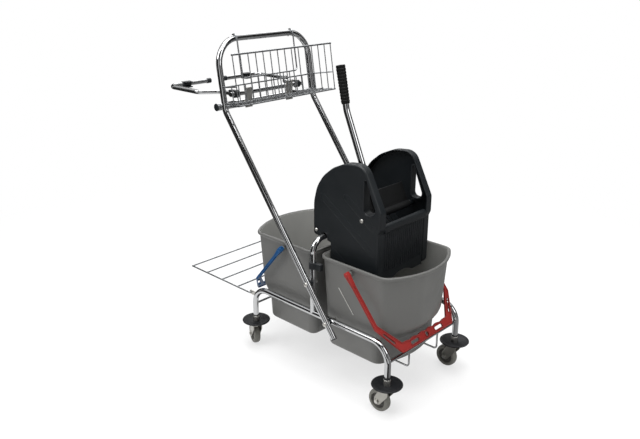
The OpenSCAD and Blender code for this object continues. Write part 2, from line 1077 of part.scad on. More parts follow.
// Axle, fixed in the side plates, that the lever and the jaw turn on.
module wringer_axle() {
    zinc()
        translate([press_x, 0, press_z])
            domed_rod(press_axle_d / 2, wringer_half, press_axle_d / 2 + 1);
}

// Lever centre line in X and Z: up from the axle, then a slight bend.
lever_pts = [[press_x, press_z], [10, 881], [-17, 1011]];
lever_dir = unit(lever_pts[1] - lever_pts[0]);
lever_tilt = 90 - heading(lever_dir);
hub_r = press_axle_d / 2 + 6;
jaw_low = hub_r + 4;
sleeve_l = lever_d + 6;

// The lever's own frame on the axle: Z along the lever.
module at_lever() {
    translate([press_x, 0, press_z])
        rotate([0, lever_tilt, 0])
            children();
}

// Press jaw: a ribbed plate on two long hubs, with a socket that takes the lever.
module press_jaw() {
    half = wringer_half - flange - 5;
    black()
        at_lever()
            difference() {
                union() {
                    translate([-jaw_t / 2, -half, jaw_low])
                        cube([jaw_t, 2 * half, jaw_high - jaw_low]);
                    for (i = [-5 : 5])
                        if (abs(i * rib_pitch) < half - 2)
                            translate([-jaw_t / 2 - 5, i * rib_pitch - 2, jaw_low + 12])
                                cube([6, 4, jaw_high - jaw_low - 18]);
                    jaw_hub(-half, lever_y - sleeve_l / 2 - pass);
                    jaw_hub(lever_y + sleeve_l / 2 + pass, half);
                    translate([0, lever_y, jaw_low + 6])
                        cylinder(h = jaw_high - jaw_low - 12, r = lever_d / 2 + 4);
                }
                translate([0, lever_y, 0])
                    cylinder(h = 2 * jaw_high, r = lever_d / 2);
                y_bar(0, 0, press_axle_d / 2 + fit, 4 * wringer_half);
            }
}

// One hub of the jaw: a sleeve on the axle with a neck up to the plate.
module jaw_hub(y0, y1) {
    translate([0, y0, 0])
        rotate([-90, 0, 0])
            cylinder(h = y1 - y0, r = hub_r);
    translate([-jaw_t / 2, y0, 0])
        cube([jaw_t, y1 - y0, jaw_low + 8]);
}

module lever_path(r, from) {
    upright(lever_y)
        bent([lever_pts[0] + from * lever_dir, lever_pts[1], lever_pts[2]], 90, r);
}

// The lever: a bent tube on a sleeve that turns on the axle.
module lever_tube() {
    chrome()
        difference() {
            union() {
                lever_path(lever_d / 2, 0);
                translate([0, lever_y, 0])
                    y_bar(press_x, press_z, hub_r - 1, sleeve_l);
            }
            lever_path(lever_d / 2 - tube_wall, hub_r);
            y_bar(press_x, press_z, press_axle_d / 2 + fit, 4 * wringer_half);
        }
}

// Ribbed grip pushed over the lever's end.
grip_l = 116;
module lever_grip() {
    dir = unit(lever_pts[2] - lever_pts[1]);
    ribs = 11;
    r0 = lever_d / 2;
    black()
        translate([lever_pts[2][0], lever_y, lever_pts[2][1]])
            rotate([0, 90 - heading(dir), 0])
                rotate_extrude()
                    polygon(concat(
                        [[0, 0], [r0, 0], [r0, 4 - grip_l], [r0 + 2.5, 4 - grip_l]],
                        [for (i = [0 : ribs - 1], k = [0 : 3])
                            let (z = 8 - grip_l + (i + [0, 0.15, 0.65, 0.8][k]) * (grip_l - 12) / ribs)
                            [r0 + 2.6 + 1.4 * i / ribs + [0, 0.9, 0.9, 0][k], z]],
                        [[r0 + 4.6, 0], [r0 + 3.6, 4], [0, 5]]));
}

// Basket

function basket_y(i, w) = (i / (basket_wires - 1) - 0.5) * (w - thin_wire_d);
thin_r = thin_wire_d / 2;
rim_r = rim_wire_d / 2;
base_r = 2.5;

module up_wire(x, y, z0, z1, r) {
    translate([x, y, z0])
        cylinder(h = z1 - z0, r = r);
}

// Front panel: a thick rim, upright wires and a lower wire.
module basket_front() {
    chrome()
        at_grip()
            union() {
                y_bar(basket_depth, -basket_top, rim_r, basket_w + 2);
                y_bar(basket_depth, -basket_low, base_r, basket_w + 2);
                for (i = [0 : basket_wires - 1])
                    up_wire(basket_depth, basket_y(i, basket_w), -basket_low, -basket_top, thin_r);
            }
}

// Back panel: a low rim with wires up to the hanger's bar.
module basket_back() {
    chrome()
        at_grip()
            union() {
                y_bar(basket_back_x, -basket_back_top, base_r, basket_back_w + 2);
                y_bar(basket_back_x, -basket_low, base_r, basket_back_w + 2);
                for (i = [0 : basket_wires - 1])
                    let (y = basket_y(i, basket_back_w))
                    up_wire(basket_back_x, y, -basket_low,
                            abs(y) < hanger_y - 12 ? -hanger_low : -basket_back_top, thin_r);
            }
}

// A wire from the back panel to the front panel in one level.
module depth_wire(back_y, front_y, z, r) {
    translate([0, 0, z])
        straight([basket_back_x, back_y], [basket_depth, front_y], r);
}

// Floor wires, laid on the lower wires of both panels.
module basket_bottom() {
    z = -basket_low + base_r + thin_r - 0.4;
    mid_w = (basket_w + basket_back_w) / 2;
    chrome()
        at_grip()
            union() {
                for (i = [0 : basket_wires - 2])
                    let (
                        a = basket_y(i + 0.5, basket_back_w),
                        b = basket_y(i + 0.5, basket_w)
                    )
                    depth_wire(a, b, z, thin_r);
                y_bar((basket_depth + basket_back_x) / 2, z + 2 * thin_r - 0.4, thin_r,
                      2 * basket_y(basket_wires - 1.5, mid_w) + 4 * thin_wire_d);
            }
}

// Two wires at each end, welded between the panels.
module basket_sides() {
    chrome()
        at_grip()
            for (s = [-1, 1], z = [basket_back_top, basket_low])
                depth_wire(s * (basket_back_w / 2 - thin_r), s * (basket_w / 2 - thin_r), -z, base_r);
}

// Hanger: a bow of wire with two hooks over the push bar.
module basket_hanger() {
    r = hanger_d / 2;
    hook = basket_back_x;
    chrome()
        at_grip()
            union() {
                across(hook)
                    bent([[-hanger_y, 0], [-hanger_y, -hanger_low], [hanger_y, -hanger_low], [hanger_y, 0]],
                         12, r);
                for (s = [-1, 1])
                    upright(s * hanger_y)
                        union() {
                            rotate_extrude(angle = 180)
                                translate([hook, 0])
                                    circle(r = r);
                            straight([-hook, 0], [-hook, -12], r);
                        }
            }
}

// Bag holder

module bag_bolt_places() {
    at_grip()
        for (s = [-1, 1])
            translate([-bag_rail_in - bag_rail_d / 2, s * handle_y, -bag_rail_drop])
                rotate([0, 90, 0])
                    children();
}

module bag_bolt_cut() {
    bag_bolt_places()
        translate([0, 0, -10])
            cylinder(h = bag_rail_d + tube_r + 18, r = bag_screw_d / 2);
}

// Cross tube behind the handle.
module bag_rail() {
    chrome()
        difference() {
            y_bar(bag_rail_x, bag_rail_z, bag_rail_d / 2, bag_rail_l);
            y_bar(bag_rail_x, bag_rail_z, bag_rail_d / 2 - tube_wall, bag_rail_l + 2);
            bag_bolt_cut();
        }
}

// End caps, their plugs clear of the screws.
cap_plug = bag_rail_over - bag_screw_d / 2 - 2;
module bag_rail_caps() {
    black()
        for (s = [-1, 1])
            translate([bag_rail_x, s * bag_rail_l / 2, bag_rail_z])
                rotate([-90 * s, 0, 0])
                    union() {
                        rotate_extrude()
                            polygon([[0, 0], [bag_rail_d / 2, 0], [bag_rail_d / 2, 1.5],
                                     [bag_rail_d / 2 - 2, 3], [0, 3]]);
                        translate([0, 0, -cap_plug])
                            cylinder(h = cap_plug, r = bag_rail_d / 2 - tube_wall);
                    }
}

// Screws through the cross tube into the handle.
module bag_rail_bolts() {
    zinc()
        bag_bolt_places()
            union() {
                translate([0, 0, -4])
                    cylinder(h = bag_rail_d + tube_r + 4, r = bag_screw_d / 2);
                translate([0, 0, -4])
                    cylinder(h = 4, r = 5.5, $fn = 6);
            }
}

// Flat plates welded to the fronts of the cross tube and the hinge bar.
module bag_hinge_plates() {
    low = bag_rail_z - bag_rail_d / 2 - 2;
    high = hinge_z + hinge_bar_d / 2 + 9;
    zinc()
        for (s = [-1, 1])
            translate([bag_rail_x + bag_rail_d / 2, s * strap_y - strap_w / 2, low])
                cube([strap_t, strap_w, high - low]);
}

module bag_hinge_bar() {
    chrome()
        y_bar(hinge_x, hinge_z, hinge_bar_d / 2, 2 * (arm_y + arm_block_w / 2 + 15));
}

// Centre line of the near arm in X and Y.
arm_pts = [[hinge_x - 13, -arm_y], [hinge_x - 72, -arm_y - 8], [hinge_x - 122, -arm_half],
           [arm_rear, -arm_half], [arm_rear, -32]];
arm_dir = unit(arm_pts[4] - arm_pts[3]);

module bag_arm(far) {
    chrome()
        mirrored(far)
            translate([0, 0, hinge_z])
                bent(arm_pts, 30, arm_d / 2);
}

module bag_arm_near() {
    bag_arm(false);
}

module bag_arm_far() {
    bag_arm(true);
}

// Hinge block that turns on the bar and holds the arm's front end.
module bag_block(far) {
    black()
        mirrored(far)
            translate([hinge_x, -arm_y, hinge_z])
                difference() {
                    union() {
                        rotate([90, 0, 0])
                            cylinder(h = arm_block_w, r = hinge_bar_d / 2 + 5, center = true);
                        translate([-30, -arm_block_w / 2, -arm_d / 2 - 3])
                            cube([30, arm_block_w, arm_d + 6]);
                    }
                    rotate([90, 0, 0])
                        cylinder(h = 2 * arm_block_w, r = hinge_bar_d / 2 + fit, center = true);
                    translate([-hinge_x, arm_y, 0])
                        bent(arm_pts, 30, arm_d / 2);
                }
}

module bag_block_near() {
    bag_block(false);
}

module bag_block_far() {
    bag_block(true);
}

// End cap on an arm.
module bag_cap(far) {
    black()
        mirrored(far)
            translate([arm_pts[4][0], arm_pts[4][1], hinge_z])
                rotate([0, 0, heading(arm_dir)])
                    rotate([0, 90, 0])
                        difference() {
                            translate([0, 0, -14])
                                cylinder(h = 17, r = arm_d / 2 + 1);
                            translate([0, 0, -15])
                                cylinder(h = 15, r = arm_d / 2);
                        }
}

module bag_cap_near() {
    bag_cap(false);
}

module bag_cap_far() {
    bag_cap(true);
}

// Spring clip that grips the bag's edge: a collar with two flat jaws.
module bag_clip(far) {
    clip_l = 34;
    black()
        mirrored(far)
            translate([arm_pts[4][0], arm_pts[4][1], hinge_z] - 106 * [arm_dir[0], arm_dir[1], 0])
                rotate([0, 0, heading(arm_dir)])
                    difference() {
                        union() {
                            rotate([0, 90, 0])
                                cylinder(h = clip_l, r = arm_d / 2 + clip_skin, center = true);
                            for (z = [-arm_d / 2 - clip_skin, arm_d / 2 + clip_skin - 3])
                                translate([-clip_l / 2, -24, z])
                                    cube([clip_l, 24, 3]);
                        }
                        rotate([0, 90, 0])
                            cylinder(h = 2 * clip_l, r = arm_d / 2, center = true);
                    }
}

module bag_clip_near() {
    bag_clip(false);
}

module bag_clip_far() {
    bag_clip(true);
}

// Shelf

// Lugs on the rear legs that hold the shelf's hinge wire.
module shelf_brackets() {
    zinc()
        for (s = [-1, 1])
            difference() {
                upright(s * half_track + lug_t / 2)
                    linear_extrude(lug_t)
                        union() {
                            translate([shelf_x, shelf_z])
                                circle(r = 8);
                            translate([shelf_x, shelf_z - 8])
                                square([-half_base + 8 - shelf_x, 16]);
                        }
                upright(s * half_track)
                    rail_path(tube_r);
                y_bar(shelf_x, shelf_z, shelf_d / 2 + fit, 3 * half_track);
            }
}

// Wire shelf: side wires with their front ends turned in as hinge pins, and
// cross wires in the same plane.
module shelf_grid() {
    r = shelf_d / 2;
    pitch = (shelf_x - shelf_rear - 70) / 3;
    chrome()
        union() {
            for (s = [-1, 1])
                translate([shelf_x, s * shelf_half, shelf_z])
                    rotate([90 * s, 0, 0])
                        cylinder(h = shelf_half - half_track + lug_t, r = r);
            for (i = [0 : 3])
                y_bar(shelf_rear + i * pitch, shelf_z, r, 2 * shelf_half);
            for (s = [-1, 1])
                upright(s * shelf_half)
                    straight([shelf_rear, shelf_z], [shelf_x, shelf_z], r);
            for (s = [-1, 1], x = [shelf_x, shelf_rear])
                translate([x, s * shelf_half, shelf_z])
                    sphere(r = r);
        }
}

near_side_rail();
far_side_rail();
front_cross_bar();
rear_cross_rod();
bucket_support_wires();
mid_frame();
push_handle();
handle_plugs();
handle_spacers();
handle_bolts();
bumper_discs();
castor_stems();
fork_front_near();
fork_front_far();
fork_rear_near();
fork_rear_far();
axle_front_near();
axle_front_far();
axle_rear_near();
axle_rear_far();
wheel_front_near();
wheel_front_far();
wheel_rear_near();
wheel_rear_far();
front_bucket();
rear_bucket();
bucket_keepers();
front_bail();
rear_bail();
wringer_near_plate();
wringer_far_plate();
wringer_front_wall();
wringer_drain_plate();
wringer_tie_rod();
wringer_axle();
press_jaw();
lever_tube();
lever_grip();
basket_front();
basket_bottom();
basket_back();
basket_sides();
basket_hanger();
bag_rail();
bag_rail_caps();
bag_rail_bolts();
bag_hinge_plates();
bag_hinge_bar();
bag_arm_near();
bag_arm_far();
bag_block_near();
bag_block_far();
bag_cap_near();
bag_cap_far();
bag_clip_near();
bag_clip_far();
shelf_brackets();
shelf_grid();
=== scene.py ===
# %% [markdown]
# Double mop bucket trolley
#
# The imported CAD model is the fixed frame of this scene. The tubes, wires and
# bolts are exact there, so they stay and only get a finish. The moulded
# pieces are made again here, with the soft corners, rolled rims, ribs and
# ridges that moulded plastic has. Everything is in metres in the CAD frame.

# %% Load the frame
import math

import bpy
from mathutils import Matrix, Vector
from mathutils.geometry import tessellate_polygon


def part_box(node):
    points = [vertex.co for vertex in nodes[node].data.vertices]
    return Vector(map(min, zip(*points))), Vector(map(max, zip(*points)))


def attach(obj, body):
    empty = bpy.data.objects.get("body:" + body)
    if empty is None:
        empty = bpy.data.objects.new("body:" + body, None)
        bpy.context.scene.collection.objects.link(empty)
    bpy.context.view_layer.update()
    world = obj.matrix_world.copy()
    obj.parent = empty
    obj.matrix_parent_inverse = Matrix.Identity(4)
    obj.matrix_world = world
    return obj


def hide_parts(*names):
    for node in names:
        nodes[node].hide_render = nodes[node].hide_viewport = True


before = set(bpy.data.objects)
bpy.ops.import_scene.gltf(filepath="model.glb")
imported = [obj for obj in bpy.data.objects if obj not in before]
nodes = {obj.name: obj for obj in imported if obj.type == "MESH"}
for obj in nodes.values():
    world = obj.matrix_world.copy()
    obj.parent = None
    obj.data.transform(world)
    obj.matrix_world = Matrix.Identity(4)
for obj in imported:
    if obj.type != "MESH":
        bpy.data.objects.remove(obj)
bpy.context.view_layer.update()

# %% [markdown]
# The CAD model measures in millimetres from the middle between the castor
# stems. Working in the same numbers keeps each piece where its node is, so
# one matrix turns them into metres in the row frame at the very end.

# %% Millimetres to the row frame
stem_lo, stem_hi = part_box("castor_stems")
STEM_MID = (stem_lo.x + stem_hi.x) / 2
TO_ROW = Matrix.Translation((STEM_MID, 0, 0)) @ Matrix.Scale(0.001, 4)
print("stem middle at X =", round(STEM_MID * 1000, 2), "mm")

# %% [markdown]
# The camera stands where the photograph was taken from: a little above the
# push bar, off the front bucket's near corner, looking down by 20 degrees.
# Lens and place were worked out from the castors and the frame's straight
# tubes, so no shift is needed.

# %% Camera
TURN, DIP = math.radians(43.7), math.radians(20.3)
LENS_MM, SENSOR_MM = 39.84, 36.0
CAMERA_PLACE = (1.60005, -1.6533, 1.3168)
camera_data = bpy.data.cameras.new("photo_camera")
camera_data.sensor_fit = "HORIZONTAL"
camera_data.sensor_width = SENSOR_MM
camera_data.lens = LENS_MM
camera = bpy.data.objects.new("photo_camera", camera_data)
bpy.context.scene.collection.objects.link(camera)
ahead = Vector((-math.sin(TURN) * math.cos(DIP), math.cos(TURN) * math.cos(DIP), -math.sin(DIP)))
camera.location = CAMERA_PLACE
camera.rotation_euler = ahead.to_track_quat("-Z", "Y").to_euler()
bpy.context.scene.camera = camera
bpy.context.scene.view_settings.view_transform = "Standard"
print("camera at", tuple(round(v, 3) for v in camera.location))

# %% [markdown]
# The studio is white. A bright world could light the trolley alone, but it
# comes from all sides and would flatten every shape. So the world is white
# only where it is seen, by the camera, in polished metal or through something
# clear, and it lights the rest at a lower level. The Light Path node tells
# these rays apart, and the floor uses the same helper further down.

# %% World
LIT_LEVEL, SEEN_LEVEL = 0.55, 1.0


def seen_directly(tree):
    """One for rays that show the studio itself, zero for those that light."""
    ray = tree.nodes.new("ShaderNodeLightPath")
    seen = ray.outputs["Is Camera Ray"]
    for kind in ("Is Glossy Ray", "Is Transmission Ray"):
        either = tree.nodes.new("ShaderNodeMath")
        either.operation = "MAXIMUM"
        tree.links.new(seen, either.inputs[0])
        tree.links.new(ray.outputs[kind], either.inputs[1])
        seen = either.outputs[0]
    return seen


world = bpy.data.worlds.new("white_studio")
bpy.context.scene.world = world
world.use_nodes = True
sky = world.node_tree
background = sky.nodes["Background"]
background.inputs["Color"].default_value = (1, 1, 1, 1)
level = sky.nodes.new("ShaderNodeMapRange")
level.inputs["To Min"].default_value = LIT_LEVEL
level.inputs["To Max"].default_value = SEEN_LEVEL
sky.links.new(seen_directly(sky), level.inputs["Value"])
sky.links.new(level.outputs["Result"], background.inputs["Strength"])
print("world lights at", LIT_LEVEL, "and shows at", SEEN_LEVEL)

# %% [markdown]
# Polished chrome only looks like metal when it has something dark to mirror,
# so dark cards stand round the set and lie on its floor, as in a photo studio.
# Only mirror rays see them. A tube mirrors a narrow strip of the whole room,
# and the edges of the cards along that strip become its dark and bright
# streaks.

# %% Dark cards
CARD_DISTANCE, FLOOR_CARD_HEIGHT = 4.0, 0.002
ROOF_CARD = [(-1.6, -1.4, 4.2), (1.6, -1.4, 4.2), (1.6, 1.8, 4.2), (-1.6, 1.8, 4.2)]


def card_finish(name, shade):
    """Dull paint without any shine of its own."""
    finish = bpy.data.materials.new(name)
    finish.use_nodes = True
    shader = finish.node_tree.nodes["Principled BSDF"]
    shader.inputs["Base Color"].default_value = (shade, shade, shade, 1)
    shader.inputs["Roughness"].default_value = 0.9
    shader.inputs["Specular IOR Level"].default_value = 0.0
    return finish


def stand_card(name, corners, finish):
    """A dark card that only mirrors see."""
    mesh = bpy.data.meshes.new(name)
    mesh.from_pydata(corners, [], [tuple(range(len(corners)))])
    mesh.materials.append(finish)
    card = bpy.data.objects.new(name, mesh)
    bpy.context.scene.collection.objects.link(card)
    for kind in ("camera", "diffuse", "transmission", "volume_scatter", "shadow"):
        setattr(card, "visible_" + kind, False)
    return card


def bow_of(angle, width, radius, height, steps=8):
    """Points along an arc round the trolley, angles in degrees."""
    turns = [math.radians(angle + width * (i / steps - 0.5)) for i in range(steps + 1)]
    return [(radius * math.cos(t), radius * math.sin(t), height) for t in turns]


black_card = card_finish("black_card", 0.03)
grey_card = card_finish("grey_card", 0.2)
# Direction, width, foot, top and finish; the second card hangs high, and the
# gap under it makes the bright streak on the handle
WALL_CARDS = ((-111, 78, 0.05, 3.2, black_card), (-64, 28, 3.15, 5.5, black_card),
              (-37, 26, 0.05, 7.5, black_card), (-2, 44, 0.05, 2.6, grey_card),
              (-2, 44, 2.6, 7.5, black_card), (50, 46, 0.05, 4.6, black_card),
              (113, 60, 0.05, 3.2, black_card), (178, 54, 0.05, 3.2, black_card))
# Direction, width, near edge, far edge and finish
FLOOR_CARDS = ((85, 116, 0.34, 6.0, grey_card), (197, 92, 0.8, 6.0, black_card),
               (285, 80, 0.8, 1.7, black_card), (335, 22, 0.66, 1.0, black_card),
               (2, 44, 0.34, 6.0, grey_card))
for index, (angle, width, low, high, finish) in enumerate(WALL_CARDS):
    foot, top = (bow_of(angle, width, CARD_DISTANCE, height) for height in (low, high))
    stand_card(f"wall_card_{index}", foot + top[::-1], finish)
for index, (angle, width, near, far, finish) in enumerate(FLOOR_CARDS):
    inner, outer = (bow_of(angle, width, reach, FLOOR_CARD_HEIGHT) for reach in (near, far))
    stand_card(f"floor_card_{index}", inner + outer[::-1], finish)
stand_card("roof_card", ROOF_CARD, grey_card)
print("dark cards:", len(WALL_CARDS) + len(FLOOR_CARDS) + 1)

# %% [markdown]
# Four large soft lamps model the shapes: a key lamp on the near side, weaker
# ones in front and behind, and one overhead that keeps the buckets' insides
# from going black. Large lamps are used because a small one would leave a hard
# shadow.

# %% Lamps


def hang_lamp(name, place, aim, size, power):
    """A square soft lamp at a place, turned to a point."""
    data = bpy.data.lights.new(name, "AREA")
    data.shape = "SQUARE"
    data.size = size
    data.energy = power
    lamp = bpy.data.objects.new(name, data)
    lamp.location = place
    lamp.rotation_euler = (Vector(aim) - Vector(place)).to_track_quat("-Z", "Y").to_euler()
    bpy.context.scene.collection.objects.link(lamp)
    return lamp


# Name, place, aim, size in metres and power in watts
LAMPS = (("key_lamp", (-1.3, -3.0, 3.2), (0, 0, 0.4), 2.0, 62),
         ("front_lamp", (3.4, 0.4, 2.6), (0, 0, 0.4), 2.0, 34),
         ("back_lamp", (-2.6, 2.4, 3.0), (0, 0, 0.5), 2.0, 40),
         ("top_lamp", (0.3, -0.3, 3.4), (0.1, 0, 0.3), 2.4, 110))
for lamp in LAMPS:
    hang_lamp(*lamp)
print("lamps:", len(LAMPS))

# %% [markdown]
# The floor is a pale disc. A plain white plane would show its horizon and
# swallow the shadow, so the disc takes the trolley's shadow near the middle
# and fades to plain white further out, where no edge shows.

# %% Floor
FLOOR_SIDES, FLOOR_RADIUS = 64, 40.0
# Share of plain white, from near the trolley to further out
FADE = (("From Min", 0.5), ("From Max", 2.2), ("To Min", 0.62), ("To Max", 1.0))
floor_mesh = bpy.data.meshes.new("studio_floor")
angles = [2 * math.pi * i / FLOOR_SIDES for i in range(FLOOR_SIDES)]
floor_mesh.from_pydata([(FLOOR_RADIUS * math.cos(a), FLOOR_RADIUS * math.sin(a), 0) for a in angles],
                       [], [tuple(range(FLOOR_SIDES))])
floor = bpy.data.objects.new("studio_floor", floor_mesh)
bpy.context.scene.collection.objects.link(floor)
floor_finish = bpy.data.materials.new("pale_floor")
floor_finish.use_nodes = True
ground = floor_finish.node_tree
paint = ground.nodes["Principled BSDF"]
paint.inputs["Base Color"].default_value = (0.86, 0.86, 0.86, 1)
paint.inputs["Roughness"].default_value = 0.8
paint.inputs["Specular IOR Level"].default_value = 0.1
place = ground.nodes.new("ShaderNodeTexCoord")
reach = ground.nodes.new("ShaderNodeVectorMath")
reach.operation = "LENGTH"
ground.links.new(place.outputs["Object"], reach.inputs[0])
fade = ground.nodes.new("ShaderNodeMapRange")
fade.interpolation_type = "SMOOTHSTEP"
for key, number in FADE:
    fade.inputs[key].default_value = number
ground.links.new(reach.outputs["Value"], fade.inputs["Value"])
share = ground.nodes.new("ShaderNodeMath")
share.operation = "MULTIPLY"
ground.links.new(fade.outputs["Result"], share.inputs[0])
ground.links.new(seen_directly(ground), share.inputs[1])
glow = ground.nodes.new("ShaderNodeEmission")
glow.inputs["Color"].default_value = (1, 1, 1, 1)
blend = ground.nodes.new("ShaderNodeMixShader")
for index, part in enumerate((share, paint, glow)):
    ground.links.new(part.outputs[0], blend.inputs[index])
ground.links.new(blend.outputs[0], ground.nodes["Material Output"].inputs["Surface"])
floor_mesh.materials.append(floor_finish)
print("floor radius:", FLOOR_RADIUS, "m")

# %% [markdown]
# A finish is a Principled shader with noise behind it. Cloudy noise shifts
# the colour, a second noise changes the gloss in patches, and a fine one
# gives the grain of the mould. Where an edge is sharp, handling has polished
# it lighter: the Bevel node's normal leaves the true normal only there. All
# noise sits on the object's own coordinates, so no piece has to be unwrapped.

# %% Finishes: helpers
WORN_EDGE, FLAT_COSINE, SHARP_COSINE = 0.0016, 0.99, 0.82
WEAR_SCALE, GLOSS_SCALE, BUMP_STRENGTH = 40.0, 22.0, 0.5
RUBBED_SHARE, RUBBED_LIFT = 0.55, 0.22


def light_values(red, green, blue):
    """Screen colour from 0 to 255 as the light values that a shader needs."""
    def one(c):
        c = c / 255
        return c / 12.92 if c <= 0.04045 else ((c + 0.055) / 1.055) ** 2.4
    return one(red), one(green), one(blue)


def noise_into(tree, scale, detail):
    """A noise texture on the object's own coordinates, in metres."""
    coords = tree.nodes.new("ShaderNodeTexCoord")
    noise = tree.nodes.new("ShaderNodeTexNoise")
    noise.inputs["Scale"].default_value = scale
    noise.inputs["Detail"].default_value = detail
    tree.links.new(coords.outputs["Object"], noise.inputs["Vector"])
    return noise.outputs["Fac"]


def spread(tree, value, low, high, to_low, to_high):
    """Maps a value from one range to another and clamps it."""
    node = tree.nodes.new("ShaderNodeMapRange")
    for key, number in (("From Min", low), ("From Max", high), ("To Min", to_low), ("To Max", to_high)):
        node.inputs[key].default_value = number
    tree.links.new(value, node.inputs["Value"])
    return node.outputs["Result"]


def mixed(tree, amount, first, second):
    """Mixes two colours, each a tuple or a socket."""
    node = tree.nodes.new("ShaderNodeMix")
    node.data_type = "RGBA"
    tree.links.new(amount, node.inputs[0])
    for socket, colour in ((node.inputs[6], first), (node.inputs[7], second)):
        if isinstance(colour, tuple):
            socket.default_value = (*colour, 1)
        else:
            tree.links.new(colour, socket)
    return node.outputs[2]


def edge_amount(tree):
    """One on sharp edges and zero on flats."""
    bevel = tree.nodes.new("ShaderNodeBevel")
    bevel.samples = 4
    bevel.inputs["Radius"].default_value = WORN_EDGE
    geometry = tree.nodes.new("ShaderNodeNewGeometry")
    compare = tree.nodes.new("ShaderNodeVectorMath")
    compare.operation = "DOT_PRODUCT"
    tree.links.new(bevel.outputs["Normal"], compare.inputs[0])
    tree.links.new(geometry.outputs["Normal"], compare.inputs[1])
    return spread(tree, compare.outputs["Value"], FLAT_COSINE, SHARP_COSINE, 0.0, 1.0)


def tinted(colour, factor):
    """A colour made lighter or darker."""
    return tuple(min(1.0, c * factor) for c in colour)


def make_finish(name, colour, gloss, clouds, grain, metal=0.0, wear=0.0, specular=0.5):
    """A procedural finish. gloss is the roughness range, clouds the colour's
    scale and share, grain the bump's scale and height in metres, and wear how
    pale the sharp edges are rubbed."""
    finish = bpy.data.materials.new(name)
    finish.use_nodes = True
    tree = finish.node_tree
    shader = tree.nodes["Principled BSDF"]
    shader.inputs["Metallic"].default_value = metal
    shader.inputs["Specular IOR Level"].default_value = specular
    cloud = spread(tree, noise_into(tree, clouds[0], 5.0), 0.3, 0.7, 0.0, 1.0)
    shade = mixed(tree, cloud, tinted(colour, 1 - clouds[1]), tinted(colour, 1 + clouds[1]))
    if wear:
        patchy = spread(tree, noise_into(tree, WEAR_SCALE, 3.0), 0.35, 0.65, 0.3 * wear, wear)
        worn = tree.nodes.new("ShaderNodeMath")
        worn.operation = "MULTIPLY"
        tree.links.new(edge_amount(tree), worn.inputs[0])
        tree.links.new(patchy, worn.inputs[1])
        pale = tuple(c * RUBBED_SHARE + RUBBED_LIFT for c in colour)
        shade = mixed(tree, worn.outputs[0], shade, pale)
    tree.links.new(shade, shader.inputs["Base Color"])
    patches = noise_into(tree, GLOSS_SCALE, 6.0)
    tree.links.new(spread(tree, patches, 0.3, 0.7, gloss[0], gloss[1]), shader.inputs["Roughness"])
    bump = tree.nodes.new("ShaderNodeBump")
    bump.inputs["Strength"].default_value = BUMP_STRENGTH
    bump.inputs["Distance"].default_value = grain[1]
    tree.links.new(noise_into(tree, grain[0], 3.0), bump.inputs["Height"])
    tree.links.new(bump.outputs["Normal"], shader.inputs["Normal"])
    return finish


# %% [markdown]
# The trolley has few finishes: polished chrome on the tubes, a duller plating
# on basket and shelf, zinc on bolts and forks, grey, black, red and blue
# moulded plastic, and rubber on wheels, bumpers and grip. The plastics' colours
# are what the surfaces show under even light, save three copies with painted
# light in them: a lighter grey that brightens the buckets' insides, a darker
# black that shades the press jaw, and a pale grey that draws a highlight on the
# front bucket. The metals' colours are how much they mirror.

# %% Finishes: metals
chrome = make_finish("chrome_plate", (0.49, 0.495, 0.5), gloss=(0.05, 0.12), clouds=(11.0, 0.03),
                     grain=(90.0, 0.000008), metal=1.0)
wire_plate = make_finish("wire_plate", (0.34, 0.35, 0.36), gloss=(0.2, 0.34), clouds=(40.0, 0.06),
                         grain=(500.0, 0.00003), metal=1.0)
zinc = make_finish("zinc_plate", (0.56, 0.55, 0.52), gloss=(0.28, 0.44), clouds=(60.0, 0.08),
                   grain=(700.0, 0.00005), metal=1.0, wear=0.3)
fork_steel = make_finish("fork_steel", (0.36, 0.35, 0.32), gloss=(0.26, 0.4), clouds=(50.0, 0.08),
                         grain=(600.0, 0.00005), metal=1.0, wear=0.3)
print("metals:", ", ".join(f.name for f in (chrome, wire_plate, zinc, fork_steel)))

# %% Finishes: plastics and rubbers
grey_plastic = make_finish("bucket_grey", light_values(95, 95, 93), gloss=(0.36, 0.5), clouds=(5.0, 0.05),
                           grain=(1300.0, 0.00012), wear=0.35, specular=0.4)
# The bucket grey made much lighter for the insides: painted light, where the lamps leave them darker.
grey_inside_painted_light = make_finish("bucket_inside_painted_light", light_values(150, 150, 147), gloss=(0.4, 0.55), clouds=(5.0, 0.07),
                          grain=(1300.0, 0.00012))
# A pale grey for the slanted line on the front bucket: a painted highlight.
grey_painted_highlight = make_finish("bucket_painted_highlight", light_values(178, 177, 173), gloss=(0.3, 0.45), clouds=(30.0, 0.08),
                        grain=(1300.0, 0.0001))
black_plastic = make_finish("wringer_black", light_values(19, 23, 26), gloss=(0.36, 0.52), clouds=(8.0, 0.12),
                            grain=(1100.0, 0.00014), wear=0.16, specular=0.35)
# A darker, duller copy of the black plastic for the press jaw: painted shade, as it sits in shadow inside the
# wringer.
jaw_black_painted_shade = make_finish("jaw_black_painted_shade", light_values(9, 10, 11), gloss=(0.55, 0.7), clouds=(10.0, 0.12),
                        grain=(1100.0, 0.00014), wear=0.05, specular=0.2)
red_plastic = make_finish("bail_red", light_values(136, 40, 37), gloss=(0.3, 0.45), clouds=(9.0, 0.07),
                          grain=(1100.0, 0.0001), wear=0.25, specular=0.2)
blue_plastic = make_finish("bail_blue", light_values(0, 68, 118), gloss=(0.35, 0.5), clouds=(9.0, 0.07),
                           grain=(1100.0, 0.0001), wear=0.15, specular=0.25)
wheel_rubber = make_finish("wheel_grey", light_values(101, 100, 94), gloss=(0.5, 0.7), clouds=(30.0, 0.08),
                           grain=(900.0, 0.00012), wear=0.15)
wheel_core = make_finish("wheel_core", light_values(66, 64, 60), gloss=(0.5, 0.7), clouds=(30.0, 0.1),
                         grain=(900.0, 0.00012), wear=0.1)
